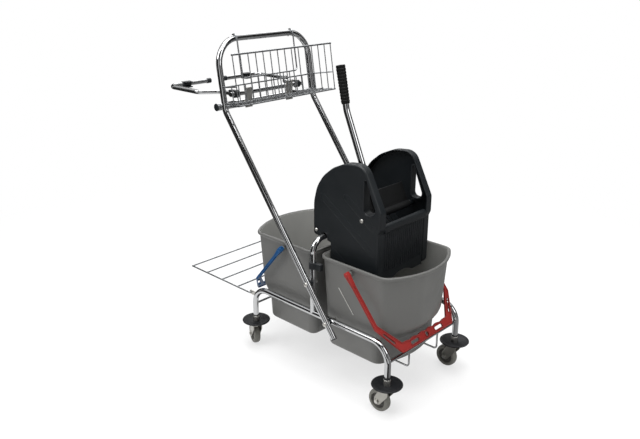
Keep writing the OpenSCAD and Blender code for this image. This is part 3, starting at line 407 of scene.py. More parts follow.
bumper_rubber = make_finish("bumper_black", light_values(20, 21, 24), gloss=(0.45, 0.65), clouds=(20.0, 0.15),
                            grain=(800.0, 0.00015), wear=0.12, specular=0.3)
grip_rubber = make_finish("grip_black", light_values(8, 9, 9), gloss=(0.45, 0.6), clouds=(25.0, 0.15),
                          grain=(900.0, 0.00015), wear=0.12, specular=0.15)
print("finishes in all, with cards and floor:", len(bpy.data.materials))

# %% [markdown]
# The tubes, wires and fasteners keep their CAD meshes, whose normals come
# from the exact surfaces. Curves with a bevel would draw the tubes too, but
# not their cut ends and crossings, so these nodes only take a finish. Nodes
# that a new piece stands for are dressed as well, so none keeps a flat colour.

# %% Dress the CAD nodes
CHROME_NODES = ("near_side_rail", "far_side_rail", "front_cross_bar", "rear_cross_rod",
                "bucket_support_wires", "mid_frame", "push_handle", "lever_tube", "bag_rail",
                "bag_hinge_bar", "bag_arm_near", "bag_arm_far")
WIRE_NODES = ("basket_front", "basket_bottom", "basket_back", "basket_sides", "basket_hanger",
              "shelf_grid")
CORNERS = ("front_near", "front_far", "rear_near", "rear_far")
ZINC_NODES = ("handle_bolts", "castor_stems", "wringer_tie_rod", "wringer_axle", "bag_rail_bolts",
              "bag_hinge_plates", "shelf_brackets", *("axle_" + c for c in CORNERS),
              *("fork_" + c for c in CORNERS))
BLACK_NODES = ("handle_plugs", "handle_spacers", "bucket_keepers", "wringer_drain_plate", "press_jaw",
               "wringer_near_plate", "wringer_far_plate", "wringer_front_wall",
               "bag_rail_caps", "bag_block_near", "bag_block_far", "bag_cap_near", "bag_cap_far",
               "bag_clip_near", "bag_clip_far")


def dress(names, finish):
    """Gives CAD nodes a finish in place of their flat colour."""
    for name in names:
        slots = nodes[name].data.materials
        slots.clear()
        slots.append(finish)


DRESSES = ((CHROME_NODES, chrome), (WIRE_NODES, wire_plate), (ZINC_NODES, zinc),
           (BLACK_NODES, black_plastic), (("lever_grip",), grip_rubber), (("bumper_discs",), bumper_rubber),
           (("front_bucket", "rear_bucket"), grey_plastic), (("front_bail",), red_plastic),
           (("rear_bail",), blue_plastic), (tuple("wheel_" + c for c in CORNERS), wheel_rubber))
for names, finish in DRESSES:
    dress(names, finish)
print("dressed", sum(len(names) for names, finish in DRESSES), "CAD nodes")

# %% [markdown]
# New pieces are plain lists of points and faces in millimetres until the very
# end. A shape is a pair of such lists, so shapes can be moved, mirrored and
# joined like building blocks. Bevels and booleans could make them too, but
# here every size stays in plain sight. First come outlines: a polygon with
# rounded corners, and the same outline moved inwards.

# %% Shape helpers: outlines


def rounded(points, radii, steps):
    """The corner points of a closed outline, with every corner rounded."""
    outline = []
    for i, corner in enumerate(points):
        before, here = Vector(points[i - 1]), Vector(corner)
        after = Vector(points[(i + 1) % len(points)])
        u, v = (here - before).normalized(), (after - here).normalized()
        turn = math.atan2(u.x * v.y - u.y * v.x, u.dot(v))
        side = 1 if turn > 0 else -1
        start = here - u * radii[i] * abs(math.tan(turn / 2))
        centre = start + side * radii[i] * Vector((-u.y, u.x))
        arm = start - centre
        for k in range(steps + 1):
            c, s = math.cos(turn * k / steps), math.sin(turn * k / steps)
            outline.append(centre + Vector((arm.x * c - arm.y * s, arm.x * s + arm.y * c)))
    return outline


def spaced(outline, least=0.02):
    """Drops points that lie on top of the one before."""
    kept = []
    for p in outline:
        if not kept or (p - kept[-1]).length > least:
            kept.append(p)
    while (kept[0] - kept[-1]).length <= least:
        kept.pop()
    return kept


def inset(outline, depth):
    """An anticlockwise outline moved inwards."""
    smaller = []
    for i, here in enumerate(outline):
        u = (here - outline[i - 1]).normalized()
        v = (outline[(i + 1) % len(outline)] - here).normalized()
        m, n = Vector((-u.y, u.x)), Vector((-v.y, v.x))
        smaller.append(here + depth * (m + n) / max(0.3, 1 + m.dot(n)))
    return smaller


def circle(x, y, radius, steps):
    """Points round a centre."""
    angles = [2 * math.pi * i / steps for i in range(steps)]
    return [Vector((x + radius * math.cos(a), y + radius * math.sin(a))) for a in angles]


# %% [markdown]
# From outlines come solids: plates with rounded edges, turned pieces, and
# skins drawn over a row of rings. Solidify, Bevel and Screw are modifiers for
# the same jobs, but they guess at tight corners. Made this way the solids are
# closed and share their corners, so their meshes can be printed or measured.

# %% Shape helpers: solids


def pressed(outline, steps, holes=()):
    """A panel whose edge runs through steps of (inset, height), from the lower
    to the upper face. Each hole is a loop with steps of its own."""
    points, faces, ends = [], [], []
    for k, (loop, path) in enumerate([(outline, steps), *holes]):
        loop = spaced(loop)
        first, n = len(points), len(loop)
        for depth, height in path:
            points += [Vector((p.x, p.y, height)) for p in inset(loop, -depth if k else depth)]
        for s in range(len(path) - 1):
            for i in range(n):
                a, b = first + s * n + i, first + s * n + (i + 1) % n
                quad = (a, b, b + n, a + n)
                faces.append(quad[::-1] if k else quad)
        ends.append((first, first + (len(path) - 1) * n, n))
    for top in (0, 1):
        rings = [[e[top] + i for i in range(e[2])] for e in ends]
        flat = [i for ring in rings for i in ring]
        for tri in tessellate_polygon([[points[i] for i in ring] for ring in rings]):
            face = [flat[i] for i in tri]
            a, b, c = (points[i] for i in face)
            if ((b - a).cross(c - a).z > 0) != bool(top):
                face.reverse()
            faces.append(tuple(face))
    return points, faces


def plate(outline, low, high, edge, holes=()):
    """A plate between two heights, with rounded edges and holes."""
    soft = 0.3 * edge
    steps = ((edge, low), (soft, low + soft), (0, low + edge),
             (0, high - edge), (soft, high - soft), (edge, high))
    return pressed(outline, steps, [(hole, steps) for hole in holes])


def block(x0, x1, y0, y1, z0, z1, edge):
    """A box with rounded edges."""
    corners = [(x0, y0), (x1, y0), (x1, y1), (x0, y1)]
    return plate(rounded(corners, [edge] * 4, 3), z0, z1, edge)


def turned(profile, steps, closed=False):
    """A profile of (radius, height) turned about Z, listed so that it runs
    anticlockwise in the radius and height plane."""
    points, faces, rows = [], [], []
    for radius, height in profile:
        if radius < 1e-6:
            rows.append([len(points)])
            points.append(Vector((0, 0, height)))
            continue
        rows.append(list(range(len(points), len(points) + steps)))
        for i in range(steps):
            angle = 2 * math.pi * i / steps
            points.append(Vector((radius * math.cos(angle), radius * math.sin(angle), height)))
    pairs = list(zip(rows, rows[1:]))
    if closed:
        pairs.append((rows[-1], rows[0]))
    for low, high in pairs:
        for i in range(steps):
            j = (i + 1) % steps
            if len(low) > 1 and len(high) > 1:
                faces.append((low[i], low[j], high[j], high[i]))
            elif len(low) > 1:
                faces.append((low[i], low[j], high[0]))
            elif len(high) > 1:
                faces.append((low[0], high[j], high[i]))
    return points, faces


def skin(rings):
    """Rings of equal count joined by quads, closed by a face at both ends."""
    n = len(rings[0])
    points = [p for ring in rings for p in ring]
    faces = []
    for k in range(len(rings) - 1):
        for i in range(n):
            a, b = k * n + i, k * n + (i + 1) % n
            faces.append((a, b, b + n, a + n))
    faces.append(tuple(range(n))[::-1])
    faces.append(tuple(range((len(rings) - 1) * n, len(rings) * n)))
    return points, faces


def moved(shape, matrix):
    """A shape put somewhere else; a mirror turns its faces round too."""
    points, faces = shape
    flip = matrix.to_3x3().determinant() < 0
    return [matrix @ p for p in points], [f[::-1] if flip else f for f in faces]


def joined(*shapes):
    """Several shapes as one."""
    points, faces = [], []
    for more, sides in shapes:
        first = len(points)
        points += more
        faces += [tuple(first + i for i in f) for f in sides]
    return points, faces


def sleeve(bore, radius, low, high, steps, edge=0.8, lead=0.8):
    """A round sleeve whose outer edges are softened."""
    return turned([(bore, low), (radius - edge, low), (radius, low + lead), (radius, high - lead),
                   (radius - edge, high), (bore, high)], steps, True)


def rod(start, end, radius, steps, dome):
    """A round bar between two points with softened ends."""
    start, end = Vector(start), Vector(end)
    long = (end - start).length
    cap = radius * dome
    soft = 0.3 * cap
    profile = [(0, 0), (radius - cap, 0), (radius - soft, soft), (radius, cap),
               (radius, long - cap), (radius - soft, long - soft), (radius - cap, long), (0, long)]
    turn = (end - start).to_track_quat("Z", "Y").to_matrix().to_4x4()
    return moved(turned(profile, steps), Matrix.Translation(start) @ turn)


# %% [markdown]
# A shape becomes an object in one place. Smooth shading with sharp edges above
# an angle suits moulded pieces, and the Weighted Normal modifier keeps their
# flat faces flat. Plates are drawn lying down and then stood up, so a few
# matrices for turning and mirroring come along.

# %% From shapes to pieces
STAND = Matrix(((1, 0, 0, 0), (0, 0, -1, 0), (0, 1, 0, 0), (0, 0, 0, 1)))
ALONG_Y = Matrix(((1, 0, 0, 0), (0, 0, 1, 0), (0, -1, 0, 0), (0, 0, 0, 1)))
FACE_X = Matrix(((0, 0, 1, 0), (1, 0, 0, 0), (0, 1, 0, 0), (0, 0, 0, 1)))
MIRROR_Y = Matrix.Scale(-1, 4, (0, 1, 0))


def shift(x, y, z):
    """A move in millimetres."""
    return Matrix.Translation((x, y, z))


def spin(degrees, axis):
    """A turn about an axis."""
    return Matrix.Rotation(math.radians(degrees), 4, axis)


def add_piece(name, shape, finish, body, stands_for=(), angle=50, lining=None):
    """Makes a shape into an object that rides on a body. lining is a second
    finish and the faces that take it."""
    points, faces = shape
    mesh = bpy.data.meshes.new(name)
    mesh.from_pydata([TO_ROW @ p for p in points], [], faces)
    mesh.shade_smooth()
    mesh.set_sharp_from_angle(angle=math.radians(angle))
    mesh.materials.append(finish)
    if lining:
        mesh.materials.append(lining[0])
        for face in lining[1]:
            mesh.polygons[face].material_index = 1
    piece = bpy.data.objects.new(name, mesh)
    bpy.context.scene.collection.objects.link(piece)
    crisp = piece.modifiers.new("flat_faces_stay_flat", "WEIGHTED_NORMAL")
    crisp.keep_sharp = True
    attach(piece, body)
    if stands_for:
        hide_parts(*stands_for)
    print(f"{name}: {len(points)} points on {body}")
    return piece


# %% [markdown]
# The buckets are injection moulded: flat towards the middle, bowed outside and
# tapered, so that they leave the mould and stack. Halfway down the bowed end a
# slope sets the foot in, clear of the frame. The rim is rolled over to stiffen
# the mouth. A subdivided box would lose the slope and the true sizes, so a row
# of outlines, each with the same number of points, is skinned from the
# underside up the outside, over the rim and down the inside.

# %% Bucket outlines
MID_X, FOOT, WALL = -14.0, 120.0, 3.0
# Height, inner end, bowed end, half width and bow depth
LEVELS = ((120.0, 30.0, 282.0, 148.0, 39.0), (134.0, 30.0, 282.0, 148.0, 40.3),
          (204.0, 27.0, 284.0, 154.0, 43.4), (244.0, 25.0, 320.0, 156.0, 52.7),
          (437.0, 18.0, 336.0, 165.0, 62.0))
# Each ring takes the mean of its level and these near it, which eases the slope's edges
EASING = (-7, -4, -1.5, 1.5, 4, 7)
INNER_CORNER, BOWED_CORNER, BOW_BLEND = 26, 34, 140


def level_at(height):
    """The bucket's sizes at one height, straight between the levels."""
    for low, high in zip(LEVELS, LEVELS[1:]):
        if height <= high[0] or high is LEVELS[-1]:
            t = max(0.0, (height - low[0]) / (high[0] - low[0]))
            return [a + (b - a) * t for a, b in zip(low[1:], high[1:])]


def bucket_ring(height, out):
    """The outline at one height, moved outwards, with the slope's edges eased."""
    near = [level_at(height + d) for d in EASING]
    x0, x1, w, bow = (sum(v) / len(near) for v in zip(*near))
    x0, x1, w = x0 - out, x1 + out, w + out
    r = (w * w + bow * bow) / (2 * bow)
    arc = [(x1 - r + math.sqrt(r * r - y * y), y) for y in (w * (i / 4 - 1) for i in range(9))]
    ends = [INNER_CORNER + out, BOWED_CORNER + out]
    radii = [*ends, *[BOW_BLEND] * 7, *ends[::-1]]
    return [Vector((p.x, p.y, height)) for p in rounded([(x0, -w), *arc, (x0, w)], radii, 8)]


print("bucket rings of", len(bucket_ring(300, 0)), "points")

# %% Bucket skin
# Ring heights, close together where the slope begins and ends
STEPS = (150, 175, 190, 196, 200, 204, 208, 213, 219, 226, 233, 238, 242, 246, 250, 256, 264, 290,
         330, 370, 405, 420)
# The rolled rim as height and distance from the wall's outside
RIM = [(424, 0.4), (426.6, 1.6), (427.8, 3.4), (428.3, 5), (429.2, 5.8), (430.4, 6.0), (434.2, 6),
       (436.2, 5.5), (437.4, 4.4), (438, 2.8), (438, 0.4), (437.5, -1.2), (436.2, -2.4), (434, -2.9)]
FOOT_RISE, FLOOR_RISE, FOOT_TUCK = 14, 15, 11


def bucket_shell():
    """Foot, slope, rolled rim and inside in one closed skin, and its inner faces."""
    foot = [math.radians(15 * k) for k in range(7)]
    path = [(FOOT + FOOT_RISE * (1 - math.cos(a)), -FOOT_TUCK * (1 - math.sin(a))) for a in foot]
    path += [(z, 0) for z in STEPS] + RIM + [(z, -WALL) for z in STEPS[-2::-1]]
    for k in range(1, 6):
        a = math.radians(18 * k)
        path.append((FOOT + WALL + FLOOR_RISE * (1 - math.sin(a)), -WALL - FOOT_TUCK * (1 - math.cos(a))))
    rings = [bucket_ring(z, out) for z, out in path]
    count, last = len(rings[0]), len(rings) - 1
    turn = next(i for i, (z, out) in enumerate(path) if out < -2 and z > STEPS[-1])
    return skin(rings), [*range(turn * count, last * count), last * count + 1]


SHELL, INSIDE = bucket_shell()
print("bucket skin of", len(SHELL[1]), "faces,", len(INSIDE), "of them inside")

# %% [markdown]
# Each bucket carries two studs for its bail. A stud is turned here like the
# mould's insert: a wide root on the wall and a plain journal for the bail's
# eye. A pale slanted line runs down the front bucket's near wall, a painted
# highlight. Paint alone would not be part of the mesh, so it is a low rib.

# %% Buckets
BAIL_X, BAIL_Z = 147.0, 414.0
STUD = [(0, 160), (9, 160), (9, 174.4), (8.2, 175.4), (5, 175.5), (5, 188.6), (4.6, 189), (0, 189)]
LINE_TOP, LINE_FOOT, LINE_R = (92, -160.9, 346), (152, -157.6, 270), 1.1
TO_MID, ABOUT = shift(MID_X, 0, 0), Matrix.Rotation(math.pi, 4, "Z")


def bucket_shape():
    """The skin with a stud on either side."""
    studs = [moved(turned(STUD, 32), shift(BAIL_X, 0, BAIL_Z) @ spin(turn, "X")) for turn in (90, -90)]
    return joined(SHELL, *studs)


# The inside faces take the lighter grey, painted light on the buckets' insides.
add_piece("front_bucket_shell", moved(bucket_shape(), TO_MID), grey_plastic, "frame",
          ("front_bucket",), 40, (grey_inside_painted_light, INSIDE))
add_piece("rear_bucket_shell", moved(bucket_shape(), TO_MID @ ABOUT), grey_plastic, "frame",
          ("rear_bucket",), 40, (grey_inside_painted_light, INSIDE))
slanted_line = rod(LINE_TOP, LINE_FOOT, LINE_R, 10, 0.9)
# The rib's pale finish is a painted highlight.
add_piece("front_bucket_line", moved(slanted_line, TO_MID), grey_painted_highlight, "frame")

# %% [markdown]
# A bail is a flat moulded hoop with a raised lip along its edges, so that it
# is stiff but light. The grip's inner edge is scalloped for the fingers and
# has slots that save material. Its channel section could be bevelled out of
# one slab. A thin web and a lip round every edge give it more cleanly, since
# both come from the same outline.

# %% Bail outline
BAIL_OUT, BAIL_IN, BAIL_REACH, BAIL_GRIP, BAIL_TAIL = 190.0, 176.0, 285.0, 29.0, 9.0
BAIL_CORNER, BAIL_KNEE = BAIL_IN - 46, BAIL_REACH - 99
BAIL_RADII = [3.4, 14, 14, 14, 14, 3.4, 3.4, 10, 8, 8, 10, 3.4]
SCALLOPS, SCALLOP_DEPTH, SCALLOP_SPAN, WAVE_STEPS = 5, 3.2, 200, 60
CORNER_STEPS = 5


def slot_outline(x, y, long, wide, angle):
    """A slot with round ends, turned by an angle."""
    ends = [(-long / 2, -wide / 2), (long / 2, -wide / 2), (long / 2, wide / 2), (-long / 2, wide / 2)]
    c, s = math.cos(angle), math.sin(angle)
    return [Vector((x + p.x * c - p.y * s, y + p.x * s + p.y * c))
            for p in rounded(ends, [wide / 2 - 0.05] * 4, CORNER_STEPS)]


def bail_outline():
    """The hoop's edge, with finger scallops in the grip's inner side."""
    inner = BAIL_REACH - BAIL_GRIP
    half = [(-BAIL_TAIL, -BAIL_OUT), (BAIL_KNEE, -BAIL_OUT), (BAIL_REACH, -BAIL_CORNER)]
    back = [(inner, -BAIL_CORNER + 14), (BAIL_KNEE - 10, -BAIL_IN), (-BAIL_TAIL, -BAIL_IN)]
    loop = half + [(x, -y) for x, y in half[::-1]] + [(x, -y) for x, y in back[::-1]] + back
    edge = rounded(loop, BAIL_RADII, CORNER_STEPS)
    wave = []
    for i in range(WAVE_STEPS + 1):
        along = i / WAVE_STEPS
        depth = SCALLOP_DEPTH / 2 * (1 - math.cos(2 * math.pi * SCALLOPS * along))
        wave.append(Vector((inner + depth, SCALLOP_SPAN * (0.5 - along))))
    grip = 9 * (CORNER_STEPS + 1)
    return spaced(edge[:grip] + wave + edge[grip:])


print("bail outline:", len(bail_outline()), "points")

# %% [markdown]
# The arms end in thicker eyes that turn on the buckets' studs. A low cap in
# the bail's own colour closes each eye.

# %% Bails
BAIL_HANG = 50
WEB, LIP, HOLE_LIP = 1.3, 4.0, 3.7
LIP_WIDE, HOLE_LIP_WIDE = 3.0, 2.0
EYE = [(-BAIL_TAIL, -6.5), (4, -8), (44, -3.6), (44, 3.6), (4, 8), (-BAIL_TAIL, 6.5)]
EYE_RADII, EYE_LOW, EYE_HIGH, EYE_BORE = [1.5, 12, 3, 3, 12, 1.5], 176.1, 189.9, 5.1
EYE_CAP = [(0, 189.6), (6.8, 189.6), (7.2, 190.4), (6.8, 191.6), (5.4, 192.4), (0, 192.6)]


def bail_shape():
    """Web, lips, lips round the holes and both eyes, lying flat."""
    outline = bail_outline()
    middle = BAIL_REACH - BAIL_GRIP / 2 + 1
    holes = [circle(middle, 0, 8, 28)]
    for side in (-1, 1):
        holes.append(slot_outline(middle, side * 62, 42, 10, math.pi / 2))
        holes.append(slot_outline(BAIL_KNEE + 42, side * (BAIL_OUT - 34), 52, 9, -side * math.radians(33)))
    web = plate(outline, -WEB, WEB, 0.6, holes)
    lip = plate(outline, -LIP, LIP, 1.2, [inset(outline, LIP_WIDE)])
    hole_lips = [plate(inset(hole, -HOLE_LIP_WIDE), -HOLE_LIP, HOLE_LIP, 0.8, [hole]) for hole in holes]
    boss = plate(spaced(rounded(EYE, EYE_RADII, CORNER_STEPS)), EYE_LOW, EYE_HIGH, 1.2,
                 [circle(0, 0, EYE_BORE, 28)])
    eye = moved(joined(boss, turned(EYE_CAP, 28)), STAND)
    return joined(web, lip, *hole_lips, eye, moved(eye, MIRROR_Y))


front_place = shift(MID_X + BAIL_X, 0, BAIL_Z) @ spin(BAIL_HANG, "Y")
rear_place = shift(MID_X - BAIL_X, 0, BAIL_Z) @ spin(-BAIL_HANG, "Y") @ ABOUT
add_piece("red_bail", moved(bail_shape(), front_place), red_plastic, "front_bail_hoop",
          ("front_bail",))
add_piece("blue_bail", moved(bail_shape(), rear_place), blue_plastic, "rear_bail_hoop",
          ("rear_bail",))

# %% [markdown]
# Each castor has a grey wheel: a crowned tread and, sunk deep inside it, a
# darker core with a hub. A torus and a cylinder would come close, but turned
# profiles also give the softened corners and the sunk web. The rear near castor
# has stayed turned a little, as castors do.

# %% Wheels
WHEEL_R, TRAIL = 37.5, 26.0
HALF_BASE, HALF_TRACK = 298.0, 181.5
# Place of the stem and turn of the fork in degrees
CASTORS = {"front_near": (HALF_BASE, -HALF_TRACK, 0), "front_far": (HALF_BASE, HALF_TRACK, 0),
           "rear_near": (-HALF_BASE, -HALF_TRACK, -25), "rear_far": (-HALF_BASE, HALF_TRACK, 0)}
# Half profiles as radius and distance from the wheel's middle
TREAD = [(24.6, 3.2), (25.0, 9.4), (25.4, 10.9), (26.4, 11.8), (27.4, 12), (31.2, 12), (33.4, 11.3),
         (35.2, 9.8), (36.5, 7.6), (37.2, 5), (37.5, 2)]
CORE = [(4.05, 12.9), (9.6, 12.9), (10.6, 12.2), (11, 8), (11.8, 5.2), (13.4, 4.2), (21.5, 4.2), (23.6, 5),
        (24.6, 7), (24.8, 4)]


def both_sides(half):
    """A profile for one half, mirrored, as a closed ring about the axle."""
    return turned([(r, -h) for r, h in half] + [(r, h) for r, h in half[::-1]], 64, True)


def at_castor(corner):
    """Where a castor stands, turned about its stem."""
    x, y, turn = CASTORS[corner]
    return shift(x, y, 0) @ spin(turn, "Z")


for corner in CORNERS:
    place = at_castor(corner) @ shift(-TRAIL, 0, WHEEL_R) @ ALONG_Y
    add_piece("tyre_" + corner, moved(both_sides(TREAD), place), wheel_rubber, "roller_" + corner,
              ("wheel_" + corner,))
    add_piece("wheel_core_" + corner, moved(both_sides(CORE), place), wheel_core, "roller_" + corner)

# %% [markdown]
# A fork is pressed from steel sheet. Two cheeks with rounded edges hold the
# axle, a flat bridge joins them, and the swivel head above is two cups with a
# groove where the balls run. Sheet could be bent from a plane with thickness,
# but plates and turned pieces seat exactly on the axle and the stem.

# %% Forks
FORK_LOW, FORK_HIGH, FORK_GAP, FORK_T = 82.0, 95.5, 13.5, 3.0
AXLE_BORE = 4.05
HEAD = [(5.6, FORK_LOW), (13.6, FORK_LOW), (14.8, FORK_LOW + 1), (15, FORK_LOW + 4), (14.4, FORK_LOW + 5.4),
        (13.2, FORK_LOW + 6), (13.2, FORK_LOW + 7.4), (14.4, FORK_LOW + 8), (15, FORK_LOW + 9.4),
        (14.6, FORK_HIGH - 1), (13.4, FORK_HIGH), (5.6, FORK_HIGH)]
CHEEK = [(-TRAIL - 9.5, 28), (-TRAIL + 9.5, 28), (15, 70), (15, 85), (-16, 85), (-TRAIL - 9.5, 50)]
CHEEK_RADII = [9, 9, 12, 1.5, 1.5, 16]
WASHER = [(AXLE_BORE, 16.4), (8.4, 16.4), (9, 16.8), (8.6, 17.5), (AXLE_BORE, 17.6)]


def fork_shape():
    """Cheeks with washers, bridge and swivel head about the stem."""
    cheek = plate(spaced(rounded(CHEEK, CHEEK_RADII, 6)), FORK_GAP, FORK_GAP + FORK_T, 0.9,
                  [circle(-TRAIL, WHEEL_R, AXLE_BORE, 24)])
    washer = moved(turned(WASHER, 32, True), shift(-TRAIL, 0, WHEEL_R) @ STAND)
    near = joined(moved(cheek, STAND), washer)
    half = FORK_GAP + FORK_T
    bridge = block(-16, 15, -half, half, FORK_LOW, FORK_LOW + FORK_T, 0.9)
    return joined(near, moved(near, MIRROR_Y), bridge, turned(HEAD, 40, True))


for corner in CORNERS:
    add_piece("fork_pressing_" + corner, moved(fork_shape(), at_castor(corner)), fork_steel,
              "castor_" + corner, ("fork_" + corner,))

# %% [markdown]
# A dished rubber disc sits between each leg and its fork as a bumper. It is
# thickest under the leg and rises to a rolled edge with two fine rings. Each
# leg ends in a short dull sleeve that covers the stem's plug. Both are turned,
# because a bump in the material would not show at the disc's edge.

# %% Bumper discs and sleeves
DISC_LOW = 96.0
DISC = [(5.5, 0), (16, 0), (24, 1.2), (34, 2.8), (41, 4), (46, 4.5), (48, 5.2), (49, 6.8), (48.8, 8.2),
        (47.8, 9.4), (46, 10), (44, 9.9), (42.6, 9.3), (41.6, 9.2), (40.6, 9.6), (39.4, 9.3), (36, 8.5),
        (33.6, 8), (32.6, 8.2), (31.4, 7.7), (25, 6.5), (19, 5.6), (14, 5), (5.5, 5)]
LEG_SLEEVE = [(10.02, 101.1), (11.2, 101.1), (11.4, 101.5), (11.2, 118), (10.8, 120.4), (10.02, 121)]
stems = [(x, y) for x, y, turn in CASTORS.values()]
discs = [moved(turned(DISC, 72, True), shift(x, y, DISC_LOW)) for x, y in stems]
leg_sleeves = [moved(turned(LEG_SLEEVE, 40, True), shift(x, y, 0)) for x, y in stems]
add_piece("bumper_discs_moulded", joined(*discs), bumper_rubber, "frame", ("bumper_discs",))
add_piece("leg_sleeves", joined(*leg_sleeves), zinc, "frame")

# %% [markdown]
# The wringer hangs on the middle frame between two side plates. Each is a
# shallow tray: a face with a rounded edge, a deep flange turned inwards all
# round, a hand hole with a collar as deep as the flange, and low diagonal
# ridges that stiffen the face. A Solidify modifier would give its wall but not
# the rounded edge or the collar. The helper for pressed panels walks an outline
# through steps of inset and height, so the tray is a single closed skin.

# %% Wringer side plates: outline
OUTER, FLANGE_END, INNER = 130.0, 102.0, 125.0
PLATE_CORNERS = [(-62, 483), (11, 470), (11, 382), (204, 382), (204, 545), (211, 561), (211, 613), (142, 748),
                 (70, 741), (18, 717), (-22, 684), (-48, 646), (-62, 592)]
PLATE_RADII = [8, 3, 14, 18, 6, 8, 22, 44, 110, 110, 110, 110, 110]
HAND_CORNERS, HAND_RADII = [(146, 600), (198, 600), (147, 719)], [15, 18, 4]
BAR_X, BAR_Z, BAR_R = MID_X, 485.0, 10.0
AXLE, TIE = (140, 576), (-49, 499)


def notched_plate():
    """Plate outline with the notch that sits over the middle frame's bar."""
    outline = spaced(rounded(PLATE_CORNERS, PLATE_RADII, 8))
    (x0, z0), (x1, z1) = PLATE_CORNERS[:2]

    def lower(x):
        """A point on the slanted lower edge."""
        return Vector((x, z0 + (z1 - z0) * (x - x0) / (x1 - x0)))

    over = [math.pi * (1 - k / 12) for k in range(13)]
    arch = [Vector((BAR_X + BAR_R * math.cos(a), BAR_Z + BAR_R * math.sin(a))) for a in over]
    notch = [lower(BAR_X - BAR_R), *arch, lower(BAR_X + BAR_R)]
    cut = next(i for i in range(len(outline)) if outline[i].x > BAR_X + BAR_R and outline[i - 1].x < BAR_X)
    return outline[:cut] + notch + outline[cut:]


print("side plate outline:", len(notched_plate()), "points")

# %% Wringer side plates
# Inset and height along the edge of the tray and of the hand hole
TRAY = [(6, INNER), (4.6, INNER - 0.6), (4, INNER - 2), (4, FLANGE_END + 0.8), (3.2, FLANGE_END),
        (0.8, FLANGE_END), (0, FLANGE_END + 0.8), (0, OUTER - 6), (0.3, OUTER - 4), (1.2, OUTER - 2.2),
        (2.6, OUTER - 0.8), (4.4, OUTER - 0.15), (6, OUTER)]
COLLAR = [(3.5, INNER), (3.5, FLANGE_END + 0.6), (2.9, FLANGE_END), (0.6, FLANGE_END), (0, FLANGE_END + 0.6),
          (0, OUTER - 4), (0.4, OUTER - 2.2), (1.4, OUTER - 0.8), (3.2, OUTER)]
BOSS = [(0, FLANGE_END), (9.2, FLANGE_END), (10, FLANGE_END + 0.8), (10, INNER + 1), (0, INNER + 1)]
# Both ends and the half width of each ridge, which is a rod pressed flat
RIDGES = (((-30, 624), (191, 474), 12), ((68, 643), (190, 556), 12), ((20, 452), (78, 412), 9))
RIDGE_FLAT = 0.1


def side_plate():
    """The near plate; its outside faces -Y."""
    hand = spaced(rounded(HAND_CORNERS, HAND_RADII, 8))
    tray = pressed(notched_plate(), TRAY, [(hand, COLLAR)])
    flat = shift(0, 0, OUTER - 0.2) @ Matrix.Scale(RIDGE_FLAT, 4, (0, 0, 1))
    ridges = [moved(rod((*a, 0), (*b, 0), half, 20, 0.95), flat) for a, b, half in RIDGES]
    bosses = [moved(turned(BOSS, 32), shift(x, z, 0)) for x, z in (AXLE, TIE)]
    return moved(joined(tray, *ridges, *bosses), STAND)


add_piece("near_side_plate", side_plate(), black_plastic, "frame", ("wringer_near_plate",))
add_piece("far_side_plate", moved(side_plate(), MIRROR_Y), black_plastic, "frame",
          ("wringer_far_plate",))

# %% [markdown]
# The front wall closes the wringer over the front bucket. It is a flat panel
# with fine upright ribs, an arch in its foot that lets water run off, and a
# rounded ledge on top that the mop is pressed against. The ribs are separate
# blocks sunk into the panel, which is simpler than cutting grooves.

# %% Wringer front wall
WALL_HALF, WALL_LOW, LEDGE_Z, WALL_X, PANEL_T = 102.0, 382.0, 545.0, 197.0, 5.0
ARCH_W, ARCH_H = 100.0, 14.0
LEDGE = [(WALL_X, LEDGE_Z - 2), (WALL_X + 9, LEDGE_Z - 2), (WALL_X + 13, LEDGE_Z + 4),
         (WALL_X + 13, LEDGE_Z + 26), (WALL_X, LEDGE_Z + 26)]
LEDGE_RADII = [1, 3, 4, 9, 3]
RIB_HALF, RIB_FROM, RIB_TO = 1.6, WALL_X + 4, WALL_X + 7


def front_wall():
    """Panel with an arched foot, ledge and ribs."""
    arch_r = (ARCH_W ** 2 / 4 + ARCH_H ** 2) / (2 * ARCH_H)
    reach = math.asin(ARCH_W / 2 / arch_r)
    arch = [(arch_r * math.sin(a), WALL_LOW + ARCH_H - arch_r + arch_r * math.cos(a))
            for a in (reach * (k / 8 - 1) for k in range(17))]
    edge = [(-WALL_HALF, WALL_LOW), *arch, (WALL_HALF, WALL_LOW), (WALL_HALF, LEDGE_Z), (-WALL_HALF, LEDGE_Z)]
    panel = moved(plate(spaced([Vector(p) for p in edge]), WALL_X, WALL_X + PANEL_T, 0.9), FACE_X)
    ledge = moved(plate(spaced(rounded(LEDGE, LEDGE_RADII, 6)), -WALL_HALF, WALL_HALF, 0.8), STAND)
    ribs = [block(RIB_FROM, RIB_TO, y - RIB_HALF, y + RIB_HALF, WALL_LOW + 34, LEDGE_Z, 1.0)
            for y in range(-90, 91, 10)]
    return joined(panel, ledge, *ribs)


add_piece("wringer_wall", front_wall(), black_plastic, "frame", ("wringer_front_wall",))

# %% [markdown]
# The press jaw turns on the axle and squeezes the mop against the drain plate.
# Ribs on its rear face grip the mop, and a socket takes the lever's tube. It
# could be drawn where it stands, but its sizes are plainer upright round the
# axle, so it is leaned back with the lever at the end.

# %% Press jaw
LEVER_Y, LEVER_LEAN = -57.0, math.atan2(130, 305)
JAW_HALF, JAW_LOW, JAW_HIGH, JAW_T = 97.0, 16.0, 74.0, 3.5
SOCKET_ROOM, JAW_RIB_STEP, JAW_RIB_HALF = 13.5, 19, 2


def jaw_hub(start, end):
    """A sleeve on the axle with a neck up to the plate."""
    ring = moved(sleeve(6.1, 12, start, end, 36, 0.6), STAND)
    return joined(ring, block(-JAW_T, JAW_T, -end, -start, 8, JAW_LOW + 8, 0.9))


